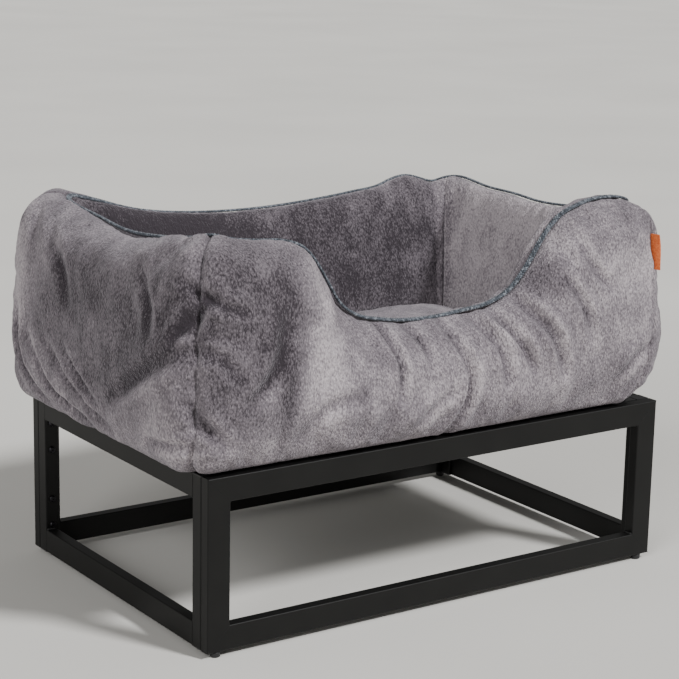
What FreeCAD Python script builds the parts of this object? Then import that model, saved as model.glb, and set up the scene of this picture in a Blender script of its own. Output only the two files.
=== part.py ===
import FreeCAD, Part

import math
import os

import Sketcher

# Dog bed on a flat-pack steel stand.
# Millimetres. +X is the long axis, +Y the back, +Z up. The origin is on the floor, midway
# between the four feet.

DIMENSIONS = (
    ("frame_length", 900, "stand, outside, left to right"),
    ("frame_depth", 590, "stand, outside, front to back"),
    ("frame_height", 277, "stand, from the underside of the bottom rails to the top"),
    ("foot_height", 10, "floor to the underside of the bottom rails"),
    ("tube_wide", 40, "wide side of the rectangular tube"),
    ("tube_deep", 20, "narrow side of the rectangular tube"),
    ("tube_wall", 1.5, "wall of every tube"),
    ("tube_round", 2, "outside corner radius of every tube"),
    ("post_side", 25, "side of the square end posts"),
    ("loop_gap", 1, "rivet-nut flange that holds two loops apart"),
    ("plug_flange", 2, "plastic plug outside the post's end"),
    ("plug_depth", 10, "plastic plug inside the post's end"),
    ("bolt_near", 44, "inner bolts, from the post's mid-height"),
    ("bolt_far", 91, "outer bolts, from the post's mid-height"),
    ("bolt_shank", 6, "M6 bolt, thread diameter"),
    ("bolt_reach", 35, "M6 bolt, length under the head"),
    ("bolt_head", 12, "bolt head diameter"),
    ("bolt_head_height", 3.3, "bolt head height"),
    ("bolt_socket", 4, "hexagon socket across flats"),
    ("bolt_clearance", 6.4, "bolt hole in the post"),
    ("insert_body", 9, "rivet nut, body diameter"),
    ("insert_flange", 13, "rivet nut, flange diameter"),
    ("insert_depth", 13, "rivet nut, body length"),
    ("insert_bore", 6.1, "rivet nut, bore over the M6 thread"),
    ("foot_inset", 20, "foot, from the end of the stand"),
    ("foot_diameter", 16, "glide diameter"),
    ("foot_gap", 0.3, "glide to rivet nut with the foot screwed in"),
    ("foot_stud", 22, "M6 stud length"),
    ("foot_stud_seat", 3, "floor to the stud's lower end inside the glide"),
    ("panel_length", 846, "platform panel"),
    ("panel_depth", 546, "platform panel"),
    ("panel_thick", 12, "platform panel"),
    ("tab_width", 30, "support tab, along the rail"),
    ("tab_reach", 24, "support tab, in from the rail"),
    ("tab_thick", 3, "support tab plate"),
    ("tab_screw", 13, "screw, from the rail's inner face"),
    ("screw_shank", 4, "panel screw diameter"),
    ("screw_bite", 10, "panel screw depth in the panel"),
    ("screw_head", 8, "panel screw head diameter"),
    ("screw_head_height", 2.4, "panel screw head height"),
    ("bed_clearance", 0.3, "gap under the bed and under the cushion"),
    ("bed_half_length", 444, "bed underside, centre to end"),
    ("bed_half_depth", 284, "bed underside, centre to front"),
    ("underside_thick", 2, "non-slip underside cloth"),
    ("cover_thick", 4, "plush cover, backing and pile"),
    ("wall_bulge", 44, "wall, outward bulge past the underside's edge"),
    ("bulge_height", 115, "wall, height of the widest point"),
    ("wall_foot", 88, "wall thickness at the underside"),
    ("wall_height", 360, "wall, height of its section"),
    ("crest_outer", 10, "crest's outer edge, in from the underside's edge"),
    ("crest_inner", 42, "crest's inner edge, in from the underside's edge"),
    ("crest_round", 8, "rise of the crest's rounding"),
    ("front_corner_top", 356, "crest at the front corners"),
    ("back_corner_top", 342, "crest at the back corners"),
    ("side_top", 318, "crest halfway along a side wall"),
    ("back_top", 300, "crest halfway along the back wall"),
    ("entry_top", 195, "crest of the low front entry"),
    ("entry_half", 165, "entry, centre to the foot of its slope"),
    ("shoulder_half", 262, "entry, centre to the top of its slope"),
    ("shoulder_top", 343, "crest at the top of the slope"),
    ("entry_round", 120, "radius at the foot of the slope"),
    ("shoulder_round", 80, "radius at the top of the slope"),
    ("braid_width", 7, "crest braid width"),
    ("braid_thick", 2.5, "crest braid thickness"),
    ("tag_length", 60, "side tag height"),
    ("tag_width", 12, "side tag, out from the seam"),
    ("tag_thick", 1.2, "side tag, folded"),
    ("tag_height", 238, "side tag's lower edge above the wall's foot"),
    ("tag_gap", 1.2, "side tag to the straight line between its two ends on the seam"),
    ("base_foam", 30, "foam in the bed's floor"),
    ("base_cloth", 3, "plush over the foam in the floor"),
    ("cushion_half_length", 350, "cushion, centre to end"),
    ("cushion_half_depth", 192, "cushion, centre to front"),
    ("cushion_thick", 85, "cushion thickness"),
    ("cushion_round", 28, "cushion edge radius"),
    ("cushion_cloth", 2, "cushion cover cloth"),
    ("zip_length", 600, "cushion zip length"),
    ("zip_width", 26, "zip tape width"),
    ("zip_thick", 1.2, "zip tape thickness"),
    ("coil_width", 5, "zip coil width"),
    ("coil_thick", 1.5, "zip coil thickness"),
    ("slider_length", 10, "zip slider, along the zip"),
    ("slider_width", 9, "zip slider, across the zip"),
    ("slider_thick", 4, "zip slider thickness"),
    ("slider_gap", 0.3, "zip slider to coil"),
    ("slider_inset", 8, "closed slider, from the zip's end"),
    ("pull_length", 24, "slider's pull, hanging"),
    ("pull_width", 6, "slider's pull width"),
    ("pull_thick", 1.4, "slider's pull thickness"),
)
TAB_PLACES_FRONT = (-300, 0, 300)
TAB_PLACES_END = (-150, 150)
CORNERS = (
    ("front_left", -1, -1),
    ("front_right", 1, -1),
    ("back_left", -1, 1),
    ("back_right", 1, 1),
)

X_AXIS = FreeCAD.Vector(1, 0, 0)
Y_AXIS = FreeCAD.Vector(0, 1, 0)
Z_AXIS = FreeCAD.Vector(0, 0, 1)

doc = FreeCAD.newDocument("DogBedWithFrame")
sheet = doc.addObject("Spreadsheet::Sheet", "sheet")
for row, (alias, value, note) in enumerate(DIMENSIONS, start=1):
    sheet.set(f"A{row}", alias)
    sheet.set(f"B{row}", str(value))
    sheet.set(f"C{row}", note)
    sheet.setAlias(f"B{row}", alias)
doc.recompute()

subparts = []


def size(expression):
    """The value of an expression over the sheet's cells."""
    return float(sheet.evalExpression(expression))


def keep(subpart):
    """Lists a sub-part for export."""
    subparts.append(subpart)
    return subpart


# ---------------------------------------------------------------- sketches and bodies


def new_body(label):
    body = doc.addObject("PartDesign::Body", label)
    body.Label = label
    return body


def new_sketch(body, role):
    """A sketch on one of the body's own origin planes."""
    sketch = body.newObject("Sketcher::SketchObject", f"{body.Name}_sketch")
    plane = next(f for f in body.Origin.OriginFeatures if f.Role == role)
    sketch.AttachmentSupport = (plane, [""])
    sketch.MapMode = "FlatFace"
    return sketch


def place_point(sketch, geometry, point, x, y):
    for kind, expression in (("DistanceX", x), ("DistanceY", y)):
        constraint = Sketcher.Constraint(kind, -1, 1, geometry, point, size(expression))
        number = sketch.addConstraint(constraint)
        sketch.setExpression(f"Constraints[{number}]", expression)


def draw_polygon(sketch, corners):
    """A closed outline whose corners are pairs of expressions over the sheet."""
    points = [FreeCAD.Vector(size(x), size(y), 0) for x, y in corners]
    first = sketch.GeometryCount
    for start, end in zip(points, points[1:] + points[:1]):
        sketch.addGeometry(Part.LineSegment(start, end), False)
    for step in range(len(points)):
        after = (step + 1) % len(points)
        sketch.addConstraint(Sketcher.Constraint("Coincident", first + step, 2, first + after, 1))
    for step, (x, y) in enumerate(corners):
        place_point(sketch, first + step, 1, x, y)


def draw_rectangle(sketch, width, height):
    """A rectangle centred on the sketch's origin."""
    right, top = f"({width}) / 2", f"({height}) / 2"
    left, bottom = f"-({width}) / 2", f"-({height}) / 2"
    draw_polygon(sketch, ((left, bottom), (right, bottom), (right, top), (left, top)))


def draw_circle(sketch, x, y, diameter):
    centre = FreeCAD.Vector(size(x), size(y), 0)
    circle = sketch.addGeometry(Part.Circle(centre, Z_AXIS, size(diameter) / 2), False)
    place_point(sketch, circle, 3, x, y)
    constraint = Sketcher.Constraint("Diameter", circle, size(diameter))
    number = sketch.addConstraint(constraint)
    sketch.setExpression(f"Constraints[{number}]", diameter)


def add_feature(body, kind, sketch):
    feature = body.newObject(f"PartDesign::{kind}", f"{body.Name}_{kind.lower()}")
    feature.Profile = sketch
    return feature


def pad(body, sketch, length):
    """A pad to both sides of its sketch."""
    feature = add_feature(body, "Pad", sketch)
    feature.SideType = "Symmetric"
    feature.setExpression("Length", length)
    doc.recompute()
    return feature


def pad_up(body, sketch, length):
    feature = add_feature(body, "Pad", sketch)
    feature.setExpression("Length", length)
    doc.recompute()
    return feature


def pocket(body, sketch, both_sides, reverse=False):
    """Cuts through everything on one side of the sketch or on both, and checks that it cut."""
    before = body.Shape.Volume
    feature = add_feature(body, "Pocket", sketch)
    feature.Type = "ThroughAll"
    feature.SideType = "Symmetric" if both_sides else "One side"
    feature.Reversed = reverse
    doc.recompute()
    if not body.Shape.Volume < before:
        raise ValueError(f"{feature.Name} cuts nothing")
    return feature


def revolve(body, sketch):
    """Turns a profile on the XZ plane about the body's Z axis."""
    feature = add_feature(body, "Revolution", sketch)
    axis = next(f for f in body.Origin.OriginFeatures if f.Role == "Z_Axis")
    feature.ReferenceAxis = (axis, [""])
    feature.Angle = 360
    doc.recompute()
    return feature


def round_edges(body, base, radius, chosen):
    """Fillets the edges of base that chosen() picks."""
    names = [f"Edge{n}" for n, edge in enumerate(base.Shape.Edges, start=1) if chosen(edge)]
    feature = body.newObject("PartDesign::Fillet", f"{body.Name}_fillet")
    feature.Base = (base, names)
    feature.setExpression("Radius", radius)
    doc.recompute()
    return feature


def middle(edge):
    return edge.valueAt((edge.FirstParameter + edge.LastParameter) / 2)


def copies(label, master, places):
    """One sub-part holding a separate copy of the master at each place."""
    links = []
    for place in places:
        link = doc.addObject("App::Link", f"{label}_copy")
        link.LinkedObject = master
        link.Placement = place
        links.append(link)
    group = doc.addObject("Part::Compound", label)
    group.Label = label
    group.Links = links
    return keep(group)


def at(x, y, z, axis=Z_AXIS, degrees=0):
    return FreeCAD.Placement(FreeCAD.Vector(x, y, z), FreeCAD.Rotation(axis, degrees))


# ---------------------------------------------------------------- tubes of the stand


def tube(label, length, width, depth):
    """A hollow tube along X: width along Z, depth along Y, with rounded outside corners."""
    body = new_body(label)
    section = new_sketch(body, "YZ_Plane")
    draw_rectangle(section, depth, width)
    inside = "2 * sheet.tube_wall"
    draw_rectangle(section, f"{depth} - {inside}", f"{width} - {inside}")
    base = pad(body, section, length)
    half = size(depth) / 2 - size("sheet.tube_wall") / 2

    def long_outer_edge(edge):
        along = abs(edge.tangentAt(edge.FirstParameter).x) > 0.99
        return along and abs(middle(edge).y) > half

    round_edges(body, base, "sheet.tube_round", long_outer_edge)
    return body


def mitre_ends(body, length):
    """Cuts both ends at 45 degrees, leaving the tube's +Z side at full length."""
    cut = new_sketch(body, "XZ_Plane")
    spare = "1"
    bottom = f"-sheet.tube_wide / 2 - {spare}"
    top = f"sheet.tube_wide / 2 + {spare}"
    for side in ("", "-"):
        end = f"{side}({length} / 2 + {spare})"
        inner = f"{side}({length} / 2 - sheet.tube_wide - {spare})"
        draw_polygon(cut, ((end, top), (end, bottom), (inner, bottom)))
    pocket(body, cut, both_sides=True)


def insert_holes_in_upright(body, towards_front):
    """Four rivet-nut holes in the upright's inner wall, in line with the end post's middle."""
    offset = "sheet.tube_wide / 2 - sheet.post_side / 2"
    holes = new_sketch(body, "XZ_Plane")
    for height in ("-sheet.bolt_far", "-sheet.bolt_near", "sheet.bolt_near", "sheet.bolt_far"):
        draw_circle(holes, height, offset, "sheet.insert_body")
    pocket(body, holes, both_sides=False, reverse=towards_front)


def insert_holes_for_feet(body):
    """Two rivet-nut holes in the long side of the bottom rail."""
    holes = new_sketch(body, "XY_Plane")
    across = "sheet.frame_length / 2 - sheet.foot_inset"
    draw_circle(holes, across, "0", "sheet.insert_body")
    draw_circle(holes, f"-({across})", "0", "sheet.insert_body")
    pocket(body, holes, both_sides=False, reverse=True)


def bolt_holes_in_post(body):
    """Four bolt holes right through the end post."""
    holes = new_sketch(body, "XZ_Plane")
    for height in ("-sheet.bolt_far", "-sheet.bolt_near", "sheet.bolt_near", "sheet.bolt_far"):
        draw_circle(holes, height, "0", "sheet.bolt_clearance")
    pocket(body, holes, both_sides=True)


frame_low = size("sheet.foot_height")
frame_middle = frame_low + size("sheet.frame_height / 2")
frame_top = frame_low + size("sheet.frame_height")
rail_middle = size("sheet.tube_wide / 2")

# Front and back loops: four mitred tubes each, standing on edge.
for face, front_or_back in (("front", -1), ("back", 1)):
    y = front_or_back * size("sheet.frame_depth / 2 - sheet.tube_deep / 2")
    for level, z, turn in (
        ("top", frame_top - rail_middle, 0),
        ("bottom", frame_low + rail_middle, 180),
    ):
        rail = tube(f"{face}_{level}_rail", "sheet.frame_length", "sheet.tube_wide", "sheet.tube_deep")
        mitre_ends(rail, "sheet.frame_length")
        if level == "bottom":
            insert_holes_for_feet(rail)
        rail.Placement = at(0, y, z, X_AXIS, turn)
        keep(rail)
    for side, left_or_right in (("left", -1), ("right", 1)):
        label = f"{face}_{side}_upright"
        upright = tube(label, "sheet.frame_height", "sheet.tube_wide", "sheet.tube_deep")
        mitre_ends(upright, "sheet.frame_height")
        insert_holes_in_upright(upright, towards_front=front_or_back > 0)
        x = left_or_right * (size("sheet.frame_length / 2") - rail_middle)
        upright.Placement = at(x, y, frame_middle, Y_AXIS, left_or_right * 90)
        keep(upright)

# End loops: square posts with the rails butted between them.
post_length = "sheet.frame_height - 2 * sheet.plug_flange"
post_y = size("sheet.frame_depth / 2 - sheet.tube_deep - sheet.loop_gap - sheet.post_side / 2")
end_rail_length = (
    "sheet.frame_depth - 2 * sheet.tube_deep - 2 * sheet.loop_gap - 2 * sheet.post_side"
)
for side, left_or_right in (("left", -1), ("right", 1)):
    post_x = left_or_right * size("sheet.frame_length / 2 - sheet.post_side / 2")
    for face, front_or_back in (("front", -1), ("back", 1)):
        post = tube(f"{side}_end_{face}_post", post_length, "sheet.post_side", "sheet.post_side")
        bolt_holes_in_post(post)
        post.Placement = at(post_x, front_or_back * post_y, frame_middle, Y_AXIS, 90)
        keep(post)
    rail_x = left_or_right * size("sheet.frame_length / 2 - sheet.tube_deep / 2")
    for level, z in (("top", frame_top - rail_middle), ("bottom", frame_low + rail_middle)):
        label = f"{side}_end_{level}_rail"
        rail = tube(label, end_rail_length, "sheet.tube_wide", "sheet.tube_deep")
        rail.Placement = at(rail_x, 0, z, Z_AXIS, 90)
        keep(rail)

# ---------------------------------------------------------------- fasteners and feet


def post_plug():
    """Plastic end plug: a flange over the post's end and a block inside it. Flange down at z 0."""
    body = new_body("post_plug")
    flange = new_sketch(body, "XY_Plane")
    draw_rectangle(flange, "sheet.post_side", "sheet.post_side")
    pad_up(body, flange, "sheet.plug_flange")
    block = new_sketch(body, "XY_Plane")
    inside = "sheet.post_side - 2 * sheet.tube_wall"
    draw_rectangle(block, inside, inside)
    pad_up(body, block, "sheet.plug_flange + sheet.plug_depth")
    return body


def rivet_nut():
    """Steel threaded insert: the flange lies on z 0 to loop_gap, the body hangs below."""
    body = new_body("rivet_nut")
    profile = new_sketch(body, "XZ_Plane")
    bore, flange, barrel = (
        f"sheet.{name} / 2" for name in ("insert_bore", "insert_flange", "insert_body")
    )
    deep = "-sheet.insert_depth"
    high = "sheet.loop_gap"
    draw_polygon(
        profile,
        ((bore, deep), (barrel, deep), (barrel, "0"), (flange, "0"), (flange, high), (bore, high)),
    )
    revolve(body, profile)
    return body


def corner_bolt():
    """Button-head bolt: the head stands on z 0, the shank hangs below."""
    body = new_body("corner_bolt")
    profile = new_sketch(body, "XZ_Plane")
    shank, head = "sheet.bolt_shank / 2", "sheet.bolt_head / 2"
    deep, high = "-sheet.bolt_reach", "sheet.bolt_head_height"
    draw_polygon(
        profile,
        (("0", deep), (shank, deep), (shank, "0"), (head, "0"), (head, high), ("0", high)),
    )
    turned = revolve(body, profile)
    rim = size("sheet.bolt_head / 2") - 0.01
    top = size("sheet.bolt_head_height")

    def head_rim(edge):
        return middle(edge).z > top - 0.01 and math.hypot(middle(edge).x, middle(edge).y) > rim

    round_edges(body, turned, "sheet.bolt_head_height * 0.8", head_rim)
    socket = new_sketch(body, "XY_Plane")
    radius = "sheet.bolt_socket / sqrt(3)"
    corners = [
        (f"{radius} * cos({angle} deg)", f"{radius} * sin({angle} deg)") for angle in range(30, 390, 60)
    ]
    draw_polygon(socket, corners)
    socket.AttachmentOffset = at(0, 0, size("sheet.bolt_head_height / 3"))
    pocket(body, socket, both_sides=False, reverse=True)
    return body


def support_tab():
    """Steel plate welded to a rail: it reaches along +Y from the rail at y 0, with its top at z 0."""
    body = new_body("support_tab")
    plate = new_sketch(body, "XY_Plane")
    half, reach = "sheet.tab_width / 2", "sheet.tab_reach"
    draw_polygon(plate, ((f"-{half}", "0"), (half, "0"), (half, reach), (f"-{half}", reach)))
    draw_circle(plate, "0", "sheet.tab_screw", "sheet.screw_shank")
    down = pad_up(body, plate, "sheet.tab_thick")
    down.Reversed = True
    return body


def panel_screw():
    """Pan-head screw driven upwards: the head hangs below z 0, the shank stands above."""
    body = new_body("panel_screw")
    profile = new_sketch(body, "XZ_Plane")
    shank, head = "sheet.screw_shank / 2", "sheet.screw_head / 2"
    high, low = "sheet.tab_thick + sheet.screw_bite", "-sheet.screw_head_height"
    draw_polygon(
        profile,
        (("0", low), (head, low), (head, "0"), (shank, "0"), (shank, high), ("0", high)),
    )
    revolve(body, profile)
    return body


def foot_pad(label):
    """Round plastic glide with a blind hole for its stud."""
    body = new_body(label)
    profile = new_sketch(body, "XZ_Plane")
    stud, rim = "sheet.bolt_shank / 2", "sheet.foot_diameter / 2"
    seat = "sheet.foot_stud_seat"
    high = "sheet.foot_height - sheet.loop_gap - sheet.foot_gap"
    draw_polygon(
        profile,
        (
            ("0", "0"),
            (f"{rim} - 1.5", "0"),
            (rim, "1.5"),
            (rim, f"{high} - 0.8"),
            (f"{rim} - 0.8", high),
            (stud, high),
            (stud, seat),
            ("0", seat),
        ),
    )
    revolve(body, profile)
    return body


def foot_stud(label):
    stud = doc.addObject("Part::Cylinder", label)
    stud.Label = label
    stud.setExpression("Radius", "sheet.bolt_shank / 2")
    stud.setExpression("Height", "sheet.foot_stud")
    return stud


plug = post_plug()
nut = rivet_nut()
bolt = corner_bolt()
tab = support_tab()
screw = panel_screw()

post_x = size("sheet.frame_length / 2 - sheet.post_side / 2")
foot_x = size("sheet.frame_length / 2 - sheet.foot_inset")
foot_y = size("sheet.frame_depth / 2 - sheet.tube_deep / 2")
joint_y = size("sheet.frame_depth / 2 - sheet.tube_deep")
head_y = joint_y - size("sheet.loop_gap + sheet.post_side")
bolt_heights = [
    frame_middle + sign * size(f"sheet.bolt_{which}") for which in ("near", "far") for sign in (-1, 1)
]

plug_places = []
for corner, left_or_right, front_or_back in CORNERS:
    x = left_or_right * post_x
    # The head faces the middle of the stand, so its axis points in along Y.
    inward = front_or_back * 90
    copies(
        f"{corner}_bolts",
        bolt,
        [at(x, front_or_back * head_y, z, X_AXIS, inward) for z in bolt_heights],
    )
    copies(
        f"{corner}_rivet_nuts",
        nut,
        [at(x, front_or_back * joint_y, z, X_AXIS, inward) for z in bolt_heights],
    )
    plug_places.append(at(x, front_or_back * post_y, frame_low))
    plug_places.append(at(x, front_or_back * post_y, frame_top, X_AXIS, 180))

    glide = keep(foot_pad(f"{corner}_foot_pad"))
    glide.Placement = at(left_or_right * foot_x, front_or_back * foot_y, 0)
    stud = keep(foot_stud(f"{corner}_foot_stud"))
    stud.Placement = at(
        left_or_right * foot_x, front_or_back * foot_y, size("sheet.foot_stud_seat")
    )
copies("post_end_plugs", plug, plug_places)
copies(
    "foot_rivet_nuts",
    nut,
    [at(side * foot_x, face * foot_y, frame_low, X_AXIS, 180) for _, side, face in CORNERS],
)

# ---------------------------------------------------------------- platform panel

panel_low = frame_top - size("sheet.panel_thick")
tab_places = []
screw_points = []
inner_y = size("sheet.frame_depth / 2 - sheet.tube_deep")
inner_x = size("sheet.frame_length / 2 - sheet.tube_deep")
screw_in = size("sheet.tab_screw")
for x in TAB_PLACES_FRONT:
    tab_places.append(at(x, -inner_y, panel_low))
    tab_places.append(at(x, inner_y, panel_low, Z_AXIS, 180))
    screw_points += [(x, screw_in - inner_y), (x, inner_y - screw_in)]
for y in TAB_PLACES_END:
    tab_places.append(at(-inner_x, y, panel_low, Z_AXIS, -90))
    tab_places.append(at(inner_x, y, panel_low, Z_AXIS, 90))
    screw_points += [(screw_in - inner_x, y), (inner_x - screw_in, y)]
copies("support_tabs", tab, tab_places)
screw_low = panel_low - size("sheet.tab_thick")
copies("panel_screws", screw, [at(x, y, screw_low) for x, y in screw_points])

panel = keep(new_body("platform_panel"))
outline = new_sketch(panel, "XY_Plane")
draw_rectangle(outline, "sheet.panel_length", "sheet.panel_depth")
pad_up(panel, outline, "sheet.panel_thick")
pilots = new_sketch(panel, "XY_Plane")
for x, y in screw_points:
    draw_circle(pilots, str(x), str(y), "sheet.screw_shank")
drilled = add_feature(panel, "Pocket", pilots)
drilled.Reversed = True
drilled.setExpression("Length", "sheet.screw_bite")
doc.recompute()
panel.Placement = at(0, 0, panel_low)

# ---------------------------------------------------------------- bed walls

bed_low = frame_top + size("sheet.bed_clearance")
wall_low = bed_low + size("sheet.underside_thick")
half_length = size("sheet.bed_half_length")
half_depth = size("sheet.bed_half_depth")
cover = size("sheet.cover_thick")
crest_line = size("(sheet.crest_outer + sheet.crest_inner) / 2")


def arc_from_bulge(bulge, end):
    """An arc that leaves the widest point straight up or down and runs to end."""
    rise = end.z - bulge.z
    run = bulge.x - end.x
    radius = (run**2 + rise**2) / (2 * run)
    centre = FreeCAD.Vector(bulge.x - radius, 0, bulge.z)
    turn = math.atan2(rise, radius - run) / 2
    halfway = centre + FreeCAD.Vector(radius * math.cos(turn), 0, radius * math.sin(turn))
    return Part.Arc(end, halfway, bulge).toShape()


def wall_section():
    """The wall's section in XZ: x outward from the underside's edge, z up from its foot."""
    foot_in = FreeCAD.Vector(-size("sheet.wall_foot"), 0, 0)
    foot_out = FreeCAD.Vector(0, 0, 0)
    bulge = FreeCAD.Vector(size("sheet.wall_bulge"), 0, size("sheet.bulge_height"))
    shoulder = size("sheet.wall_height - sheet.crest_round")
    crest_out = FreeCAD.Vector(-size("sheet.crest_outer"), 0, shoulder)
    crest_in = FreeCAD.Vector(-size("sheet.crest_inner"), 0, shoulder)
    crest = FreeCAD.Vector(-crest_line, 0, size("sheet.wall_height"))
    edges = [
        Part.makeLine(foot_in, foot_out),
        arc_from_bulge(bulge, foot_out),
        arc_from_bulge(bulge, crest_out),
        Part.Arc(crest_out, crest, crest_in).toShape(),
        Part.makeLine(crest_in, foot_in),
    ]
    return Part.Face(Part.Wire(Part.__sortEdges__(edges)))


def rounded_line(points, radii):
    """Straight runs through the points in XZ, with an arc of the given radius at each inner one."""
    edges = []
    start = points[0]
    for before, corner, after, radius in zip(points, points[1:], points[2:], radii):
        back = (before - corner).normalize()
        forward = (after - corner).normalize()
        half_angle = back.getAngle(forward) / 2
        reach = radius / math.tan(half_angle)
        arc_start = corner + back * reach
        arc_end = corner + forward * reach
        toward = (back + forward).normalize()
        centre = corner + toward * (radius / math.sin(half_angle))
        edges.append(Part.makeLine(start, arc_start))
        edges.append(Part.Arc(arc_start, centre - toward * radius, arc_end).toShape())
        start = arc_end
    edges.append(Part.makeLine(start, points[-1]))
    return edges


def crest_arc(left_top, middle_top, right_top, corner):
    """A shallow arc through the crest's two corners and its middle, in XZ."""
    return [
        Part.Arc(
            FreeCAD.Vector(-corner, 0, left_top),
            FreeCAD.Vector(0, 0, middle_top),
            FreeCAD.Vector(corner, 0, right_top),
        ).toShape()
    ]


def entry_line(corner):
    """The front crest: high corners, sloped shoulders and the low entry between them."""
    top = size("sheet.front_corner_top")
    shoulder_x, shoulder_z = size("sheet.shoulder_half"), size("sheet.shoulder_top")
    entry_x, entry_z = size("sheet.entry_half"), size("sheet.entry_top")
    outline = ((-corner, top), (-shoulder_x, shoulder_z), (-entry_x, entry_z))
    points = [FreeCAD.Vector(x, 0, z) for x, z in outline]
    points += [FreeCAD.Vector(-x, 0, z) for x, z in reversed(outline)]
    shoulder, entry = size("sheet.shoulder_round"), size("sheet.entry_round")
    return rounded_line(points, (shoulder, entry, entry, shoulder))


def below_crest(crest_edges, corner):
    """The face under a crest line, level past its ends and closed well below the wall."""
    past = corner + 2 * size("sheet.wall_foot")
    deep = -size("sheet.wall_foot")
    ends = (crest_edges[0].Vertexes[0].Point, crest_edges[-1].Vertexes[-1].Point)
    left, right = sorted(ends, key=lambda point: point.x)
    frame_points = [
        left,
        FreeCAD.Vector(-past, 0, left.z),
        FreeCAD.Vector(-past, 0, deep),
        FreeCAD.Vector(past, 0, deep),
        FreeCAD.Vector(past, 0, right.z),
        right,
    ]
    edges = [Part.makeLine(a, b) for a, b in zip(frame_points, frame_points[1:])]
    return Part.Face(Part.Wire(Part.__sortEdges__(crest_edges + edges)))


def mitre_block(half_along, half_out):
    """The plan of one wall between its two 45 degree corners, as a tall block; outward is -Y."""
    inward = 1.5 * size("sheet.wall_foot")
    outward = 1.5 * size("sheet.wall_bulge")
    low = -size("sheet.wall_foot")
    corners = [
        (half_along - inward, inward - half_out),
        (half_along + outward, -half_out - outward),
        (-half_along - outward, -half_out - outward),
        (inward - half_along, inward - half_out),
    ]
    points = [FreeCAD.Vector(x, y, low) for x, y in corners]
    plan = Part.Face(Part.makePolygon(points + points[:1]))
    return plan.extrude(Z_AXIS * 2 * size("sheet.wall_height"))


def wall_solid(inset, crest_edges, half_along, half_out):
    """One wall with its outward side to -Y, shrunk by inset on every face but its mitres."""
    corner = half_along - crest_line
    section = wall_section()
    under = below_crest(crest_edges, corner)
    if inset:
        section = section.makeOffset2D(-inset)
        under = under.makeOffset2D(-inset)
    span = 2 * (half_along + size("sheet.wall_foot"))
    section.rotate(FreeCAD.Vector(), Z_AXIS, -90)
    section.translate(FreeCAD.Vector(-span / 2, -half_out, 0))
    prism = section.extrude(X_AXIS * span)
    reach = 2 * half_depth
    under.translate(FreeCAD.Vector(0, -half_out - reach / 2, 0))
    silhouette = under.extrude(Y_AXIS * reach)
    return prism.common(silhouette).common(mitre_block(half_along, half_out))


def braid_run(crest_edges, half_along, half_out):
    """The braid along one wall's crest, mitred at the corners; outward is -Y."""
    corner = half_along - crest_line
    under = below_crest(crest_edges, corner)
    raised = under.makeOffset2D(size("sheet.braid_thick"))
    width = size("sheet.braid_width")
    band = raised.cut(under)
    band.translate(FreeCAD.Vector(0, crest_line - half_out - width / 2, 0))
    run = band.extrude(Y_AXIS * width)
    wide = 4 * corner
    above = Part.makeBox(wide, wide, wide, FreeCAD.Vector(-wide / 2, -wide / 2, 0))
    return run.common(mitre_block(half_along, half_out)).common(above)


def shape_feature(label, shape, placement):
    feature = doc.addObject("Part::Feature", label)
    feature.Label = label
    feature.Shape = shape
    feature.Placement = placement
    return feature


corner_x = half_length - crest_line
corner_y = half_depth - crest_line
front_top = size("sheet.front_corner_top")
back_top = size("sheet.back_corner_top")
side_top = size("sheet.side_top")
front_crest = entry_line(corner_x)
right_crest = crest_arc(front_top, side_top, back_top, corner_y)
back_crest = crest_arc(back_top, size("sheet.back_top"), back_top, corner_x)
left_crest = crest_arc(back_top, side_top, front_top, corner_y)
WALLS = (
    ("front", 0, front_crest, half_length, half_depth),
    ("right", 90, right_crest, half_depth, half_length),
    ("back", 180, back_crest, half_length, half_depth),
    ("left", 270, left_crest, half_depth, half_length),
)
braid_runs = []
for side, degrees, crest_edges, half_along, half_out in WALLS:
    place = at(0, 0, wall_low, Z_AXIS, degrees)
    outer_shape = wall_solid(0, crest_edges, half_along, half_out)
    foam_shape = wall_solid(cover, crest_edges, half_along, half_out)
    whole = shape_feature(f"{side}_wall_whole", outer_shape, place)
    foam = keep(shape_feature(f"{side}_wall_foam", foam_shape, place))
    skin = doc.addObject("Part::Cut", f"{side}_wall_cover")
    skin.Label = f"{side}_wall_cover"
    skin.Base = whole
    skin.Tool = foam
    keep(skin)
    run = braid_run(crest_edges, half_along, half_out)
    run.Placement = place.multiply(run.Placement)
    braid_runs.append(run)
keep(shape_feature("crest_braid", Part.makeCompound(braid_runs), at(0, 0, 0)))

# ---------------------------------------------------------------- bed floor and tag


def plain_box(label, length, depth, height, place):
    """A box centred on its place in X and Y, with its underside at the place's z."""
    box = doc.addObject("Part::Box", label)
    box.Label = label
    box.setExpression("Length", length)
    box.setExpression("Width", depth)
    box.setExpression("Height", height)
    x, y, z = place
    box.Placement = at(x - size(length) / 2, y - size(depth) / 2, z)
    return box


keep(
    plain_box(
        "bed_underside",
        "2 * sheet.bed_half_length",
        "2 * sheet.bed_half_depth",
        "sheet.underside_thick",
        (0, 0, bed_low),
    )
)
floor_length = "2 * (sheet.bed_half_length - sheet.wall_foot)"
floor_depth = "2 * (sheet.bed_half_depth - sheet.wall_foot)"
foam_top = wall_low + size("sheet.base_foam")
keep(plain_box("floor_foam", floor_length, floor_depth, "sheet.base_foam", (0, 0, wall_low)))
keep(plain_box("floor_cover", floor_length, floor_depth, "sheet.base_cloth", (0, 0, foam_top)))


def wall_reach(height):
    """How far the wall stands out from the underside's edge, at a height above its bulge."""
    run = size("sheet.wall_bulge + sheet.crest_outer")
    rise = size("sheet.wall_height - sheet.crest_round - sheet.bulge_height")
    radius = (run**2 + rise**2) / (2 * run)
    above = height - size("sheet.bulge_height")
    return size("sheet.wall_bulge") - radius + math.sqrt(radius**2 - above**2)


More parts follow.
